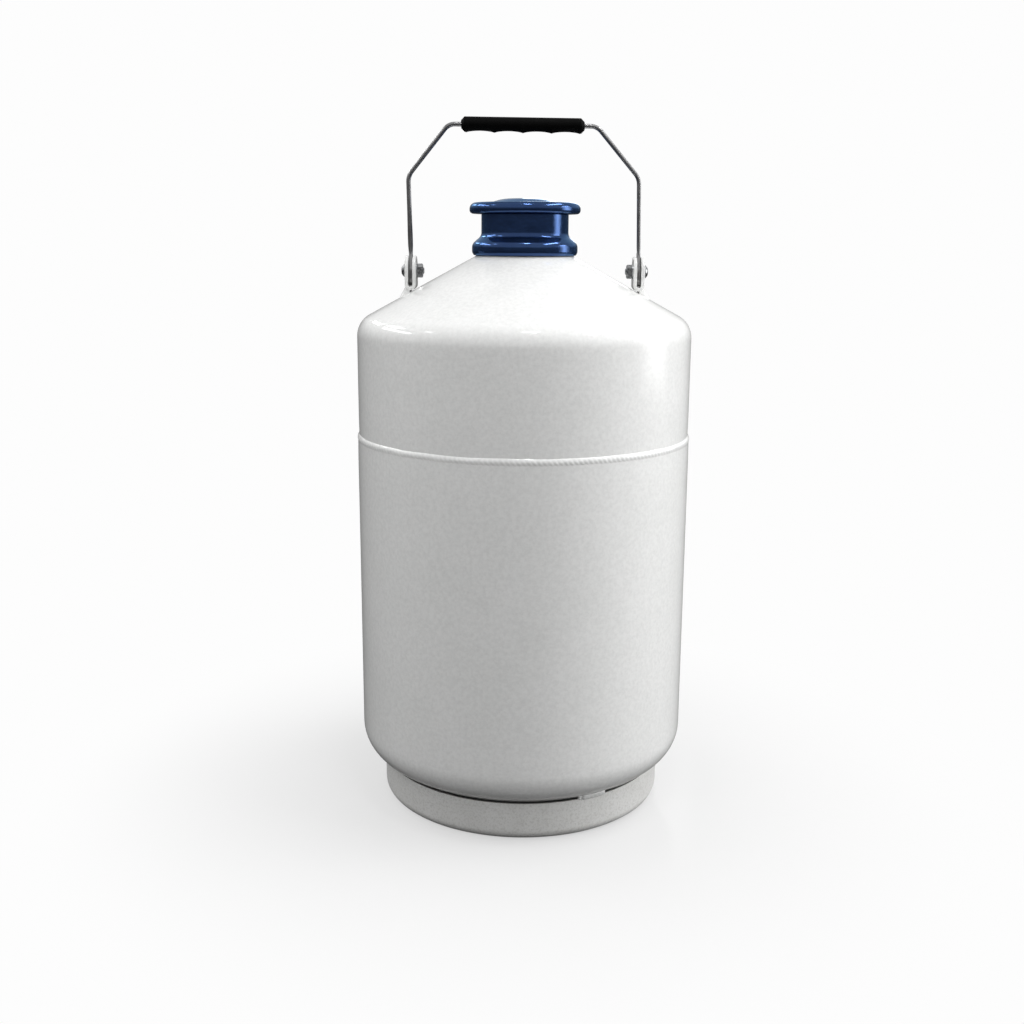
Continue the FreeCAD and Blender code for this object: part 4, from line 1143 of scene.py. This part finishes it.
def grip_radius(x, angle):
    """The grip's surface: a round bar with four finger hollows and rounded, bevelled ends."""
    from_end = GRIP_HALF - abs(x)
    radius = GRIP_FULL - max(0.0, GRIP_BEVEL - from_end)
    down = max(0.0, -math.sin(angle))
    hollow = ridge = 0.0
    if abs(x) < FINGERS / 2 * FINGER_PITCH:
        along = (x / FINGER_PITCH) % 1.0 - 0.5
        hollow = 1.25 * MM * (1 - (2 * along) ** 2)
        ridge = 0.25 * MM * math.exp(-(((abs(along) - 0.5) / 0.06) ** 2))
    parting = math.exp(-((math.cos(angle) / 0.05) ** 2)) if down < 0.5 else 0.0
    seam = 0.12 * MM * parting if from_end > 2 * MM else 0.0
    return radius - (hollow - ridge) * down ** 1.5 + seam


def grip():
    """The moulded sleeve: its skin, a dished end face at each side, and the wire's bore."""
    bore = WIRE_RADIUS + 0.05 * MM
    stations = 150
    face = GRIP_HALF - 0.001 * MM
    wall = GRIP_FULL - GRIP_BEVEL - bore

    def ring(x, plain_radius=None):
        column = []
        for angle in around(72):
            radius = plain_radius or grip_radius(x, angle)
            column.append((x, radius * math.cos(angle), WIRE_TOP + radius * math.sin(angle)))
        return column

    def end(side):
        return [ring(side * (face - 0.04 * MM), bore + wall * 0.72),
                ring(side * (face - 0.16 * MM), bore + wall * 0.45),
                ring(side * (GRIP_HALF - 1.5 * MM), bore)]

    skin = [ring(-face + 2 * face * i / stations) for i in range(stations + 1)]
    sleeve = grid(end(-1)[::-1] + skin + end(1), True, True)
    make_piece("moulded_grip", leaned(sleeve), GRIP, ["bail_grip"], "bail")


def bail_wire():
    bent = leaned(joined(wire(), both_sides(eye())))
    make_piece("bail_wire", bent, WIRE, ["bail_rod"], "bail")


lugs()
pivots()
bail_wire()
grip()


# The vacuum port under the floor.

def port_cap():
    """The port's dust cap, ribbed for the fingers."""
    radius = high("vacuum_port_cap").x
    bottom, top = low("vacuum_port_cap").z, high("vacuum_port_cap").z
    neck = high("vacuum_port_body").x + 0.05 * MM
    outline = rounded([
        (0, bottom),
        (radius, bottom, 1.6 * MM),
        (radius, top, 0.3 * MM),
        (neck, top),
        (neck, bottom + 5.9 * MM),
        (0, bottom + 5.9 * MM),
    ])
    ribs = 30

    def ribbed(r, z, angle):
        if r < radius - 1 * MM or z < bottom + 1.5 * MM:
            return r, z
        return r - 0.5 * MM * (0.5 + 0.5 * math.cos(ribs * angle)) ** 2, z

    make_piece("ribbed_port_cap", lathe(outline, ribs * 12, ribbed), CAP, ["vacuum_port_cap"])


port_cap()


# CAD nodes that stay as they are, with their materials.

def numbered(name):
    return [f"{name}_{i}" for i in range(1, HOOKS + 1)]


KEPT = {
    LAMINATE: ["neck_tube"],
    ALUMINIUM: ["neck_ring_upper", "neck_ring_lower", "inner_vessel_lower", "inner_vessel_upper",
                "inner_girth_weld", "adsorbent_tray", "vacuum_port_body", "vacuum_port_plug"],
    FOIL: ["insulation_wrap", "insulation_pad", "insulation_cap"],
    SIEVE: ["adsorbent"],
    GETTER: ["getter_capsule"],
    RUBBER: ["vacuum_port_seal"],
    NAVY: ["plug_retainer"],
    STEEL: ["canister_divider", *numbered("canister_cup")],
    WIRE: numbered("canister_rod"),
}


def dress_kept_nodes():
    for material, names in KEPT.items():
        for name in names:
            mesh = frame["nodes"][name].data
            mesh.materials.clear()
            mesh.materials.append(material)


dress_kept_nodes()


# The studio.

PALE = 0.982


def world():
    """A pale backdrop for the camera, and a bright ceiling over dim walls for the light."""
    made = bpy.data.worlds.new("studio")
    bpy.context.scene.world = made
    made.use_nodes = True
    made.node_tree.nodes.clear()
    tree = Tree(made.node_tree)
    up = tree.add("SeparateXYZ", tree.add("TexCoord").outputs["Generated"]).outputs["Z"]
    climb = tree.add("MapRange", Value=up, From_Min=0.02, From_Max=0.28, To_Min=0.13, To_Max=0.78)
    climb.interpolation_type = "SMOOTHSTEP"
    room = tree.add("Background", Strength=climb.outputs["Result"])
    backdrop = tree.add("Background", Color=(PALE,) * 3)
    seen = tree.add("LightPath").outputs["Is Camera Ray"]
    mix = tree.add("MixShader", seen, room.outputs[0], backdrop.outputs[0])
    tree.add("OutputWorld", Surface=mix.outputs[0])


def floor():
    """A plain pale floor that fades into the backdrop, with a faint sheen."""
    half, steps = 6.0, 25
    points = [[(half * x, half * y, -0.0001) for y in across_steps(steps)]
              for x in across_steps(steps)]
    plane = placed("floor", new_mesh("floor", *grid(points, False, False)))
    paint = Paint("pale_floor")
    seen = paint.add("LightPath").outputs["Is Camera Ray"]
    distance = paint.add("VectorMath", paint.place)
    distance.operation = "LENGTH"
    away = distance.outputs["Value"]
    matt = paint.add("BsdfDiffuse", Color=paint.mixed(seen, (0.05,) * 3, (0.62,) * 3))
    sheen = paint.add("BsdfGlossy", Color=(0.9,) * 3, Roughness=0.1)
    sheen_share = paint.scaled(paint.between(away, 0.15, 0.28), 0.03, 0.0)
    surface = paint.add("MixShader", sheen_share, matt.outputs[0], sheen.outputs[0])
    glow = paint.add("Emission", Color=(PALE,) * 3)
    glow_share = paint.scaled(paint.between(away, 0.14, 0.46), 0.54, 1.0)
    outside_ring = paint.between(away, 0.108, 0.122)
    lit = paint.maths("MULTIPLY", paint.maths("MULTIPLY", glow_share, outside_ring), seen)
    blend = paint.add("MixShader", lit, surface.outputs[0], glow.outputs[0])
    paint.feed(paint.nodes["Material Output"].inputs["Surface"], blend.outputs[0])
    paint.nodes.remove(paint.shader)
    plane.data.materials.append(paint.material)


CEILING = 2.0
SHOULDER = 0.42
AIM = Vector((0, 0, SHOULDER))


def area_light(name, size, radiance, centre, rotation):
    """A rectangular light. Its power is worked out from its radiance."""
    data = bpy.data.lights.new(name, "AREA")
    data.shape = "RECTANGLE"
    data.size, data.size_y = size
    data.energy = radiance * math.pi * size[0] * size[1]
    lamp = placed(name, data)
    lamp.location = centre
    lamp.rotation_euler = rotation
    lamp.visible_camera = False
    return lamp


def soft_light(name, centre, size, radiance, aim=AIM):
    toward = Vector(aim) - Vector(centre)
    return area_light(name, size, radiance, centre, toward.to_track_quat("-Z", "Y").to_euler())


def tube_light(name, x, near, far, width, radiance):
    """A ceiling tube along Y. Places are shares of the ceiling's height above the shoulder."""
    rise = CEILING - SHOULDER
    centre = (x * rise, (near + far) / 2 * rise, CEILING)
    size = (width * rise, (far - near) * rise)
    area_light(name, size, radiance, centre, Euler((0, math.atan2(x, 1.0), 0)))


# Each tube's x, near end, far end, width and radiance.
TUBES = {
    "tube_far_left": (-1.6, 0.0, 1.2, 0.16, 9),
    "tube_left": (-1.2, 0.5, 1.05, 0.14, 9),
    "tube_left_back": (-1.35, 1.5, 2.5, 0.16, 9),
    "tube_left_near": (-1.0, -0.2, 0.0, 0.1, 9),
    "tube_middle": (0.05, -0.38, -0.26, 0.14, 30),
    "tube_right": (0.7, -0.43, 0.45, 0.09, 20),
    "tube_far_right": (1.9, -0.1, 0.65, 0.2, 9),
}
WINDOW = Vector((2.1, 0.2, 0.75))
WINDOW_SIZE = (1.13, 1.3)
# Each layer's share of the window's width, and its radiance.
WINDOW_LAYERS = ((1.0, 0.95), (0.75, 1.1), (0.5, 1.3), (0.25, 1.2))
# Each fill's centre, size and radiance.
FILLS = {
    "bounce_right": ((2.1, -0.37, 0.56), (1.5, 1.0), 4.7),
    "fill_front": ((-0.5, -1.2, 0.95), (1.4, 0.5), 2.0),
    "fill_left": ((-1.8, -0.5, 0.8), (0.8, 1.0), 1.0),
}


def lights():
    """Ceiling tubes, a window that is brightest in its middle, and fills that gloss doesn't show."""
    for name, tube in TUBES.items():
        tube_light(name, *tube)
    for layer, (share, radiance) in enumerate(WINDOW_LAYERS):
        size = (WINDOW_SIZE[0] * share, WINDOW_SIZE[1] * (0.7 + 0.3 * share))
        soft_light(f"window_{layer}", WINDOW * (1 - 0.004 * layer), size, radiance)
    for name, lamp in FILLS.items():
        soft_light(name, *lamp).visible_glossy = False
    soft_light("sheen_behind", (0.245, 2.2, 1.0), (0.51, 0.6), 3, aim=(0.245, 0, 0.6))


def camera():
    """The photograph's viewpoint."""
    data = bpy.data.cameras.new("camera")
    data.sensor_width = 36
    data.lens = 42.72
    data.clip_start, data.clip_end = 0.05, 60
    eye_point = Vector((0, -1.1113, 0.5176))
    tilt, swing, roll = 0.221, 0.009, 0.006
    seen_by = placed("camera", data)
    turn = Matrix.Rotation(swing, 4, "Z") @ Matrix.Rotation(math.pi / 2 - tilt, 4, "X")
    seen_by.matrix_world = Matrix.Translation(eye_point) @ turn @ Matrix.Rotation(roll, 4, "Z")
    bpy.context.scene.camera = seen_by


world()
floor()
lights()
camera()
bpy.context.scene.view_settings.view_transform = "Standard"
bpy.context.scene.view_settings.look = "None"
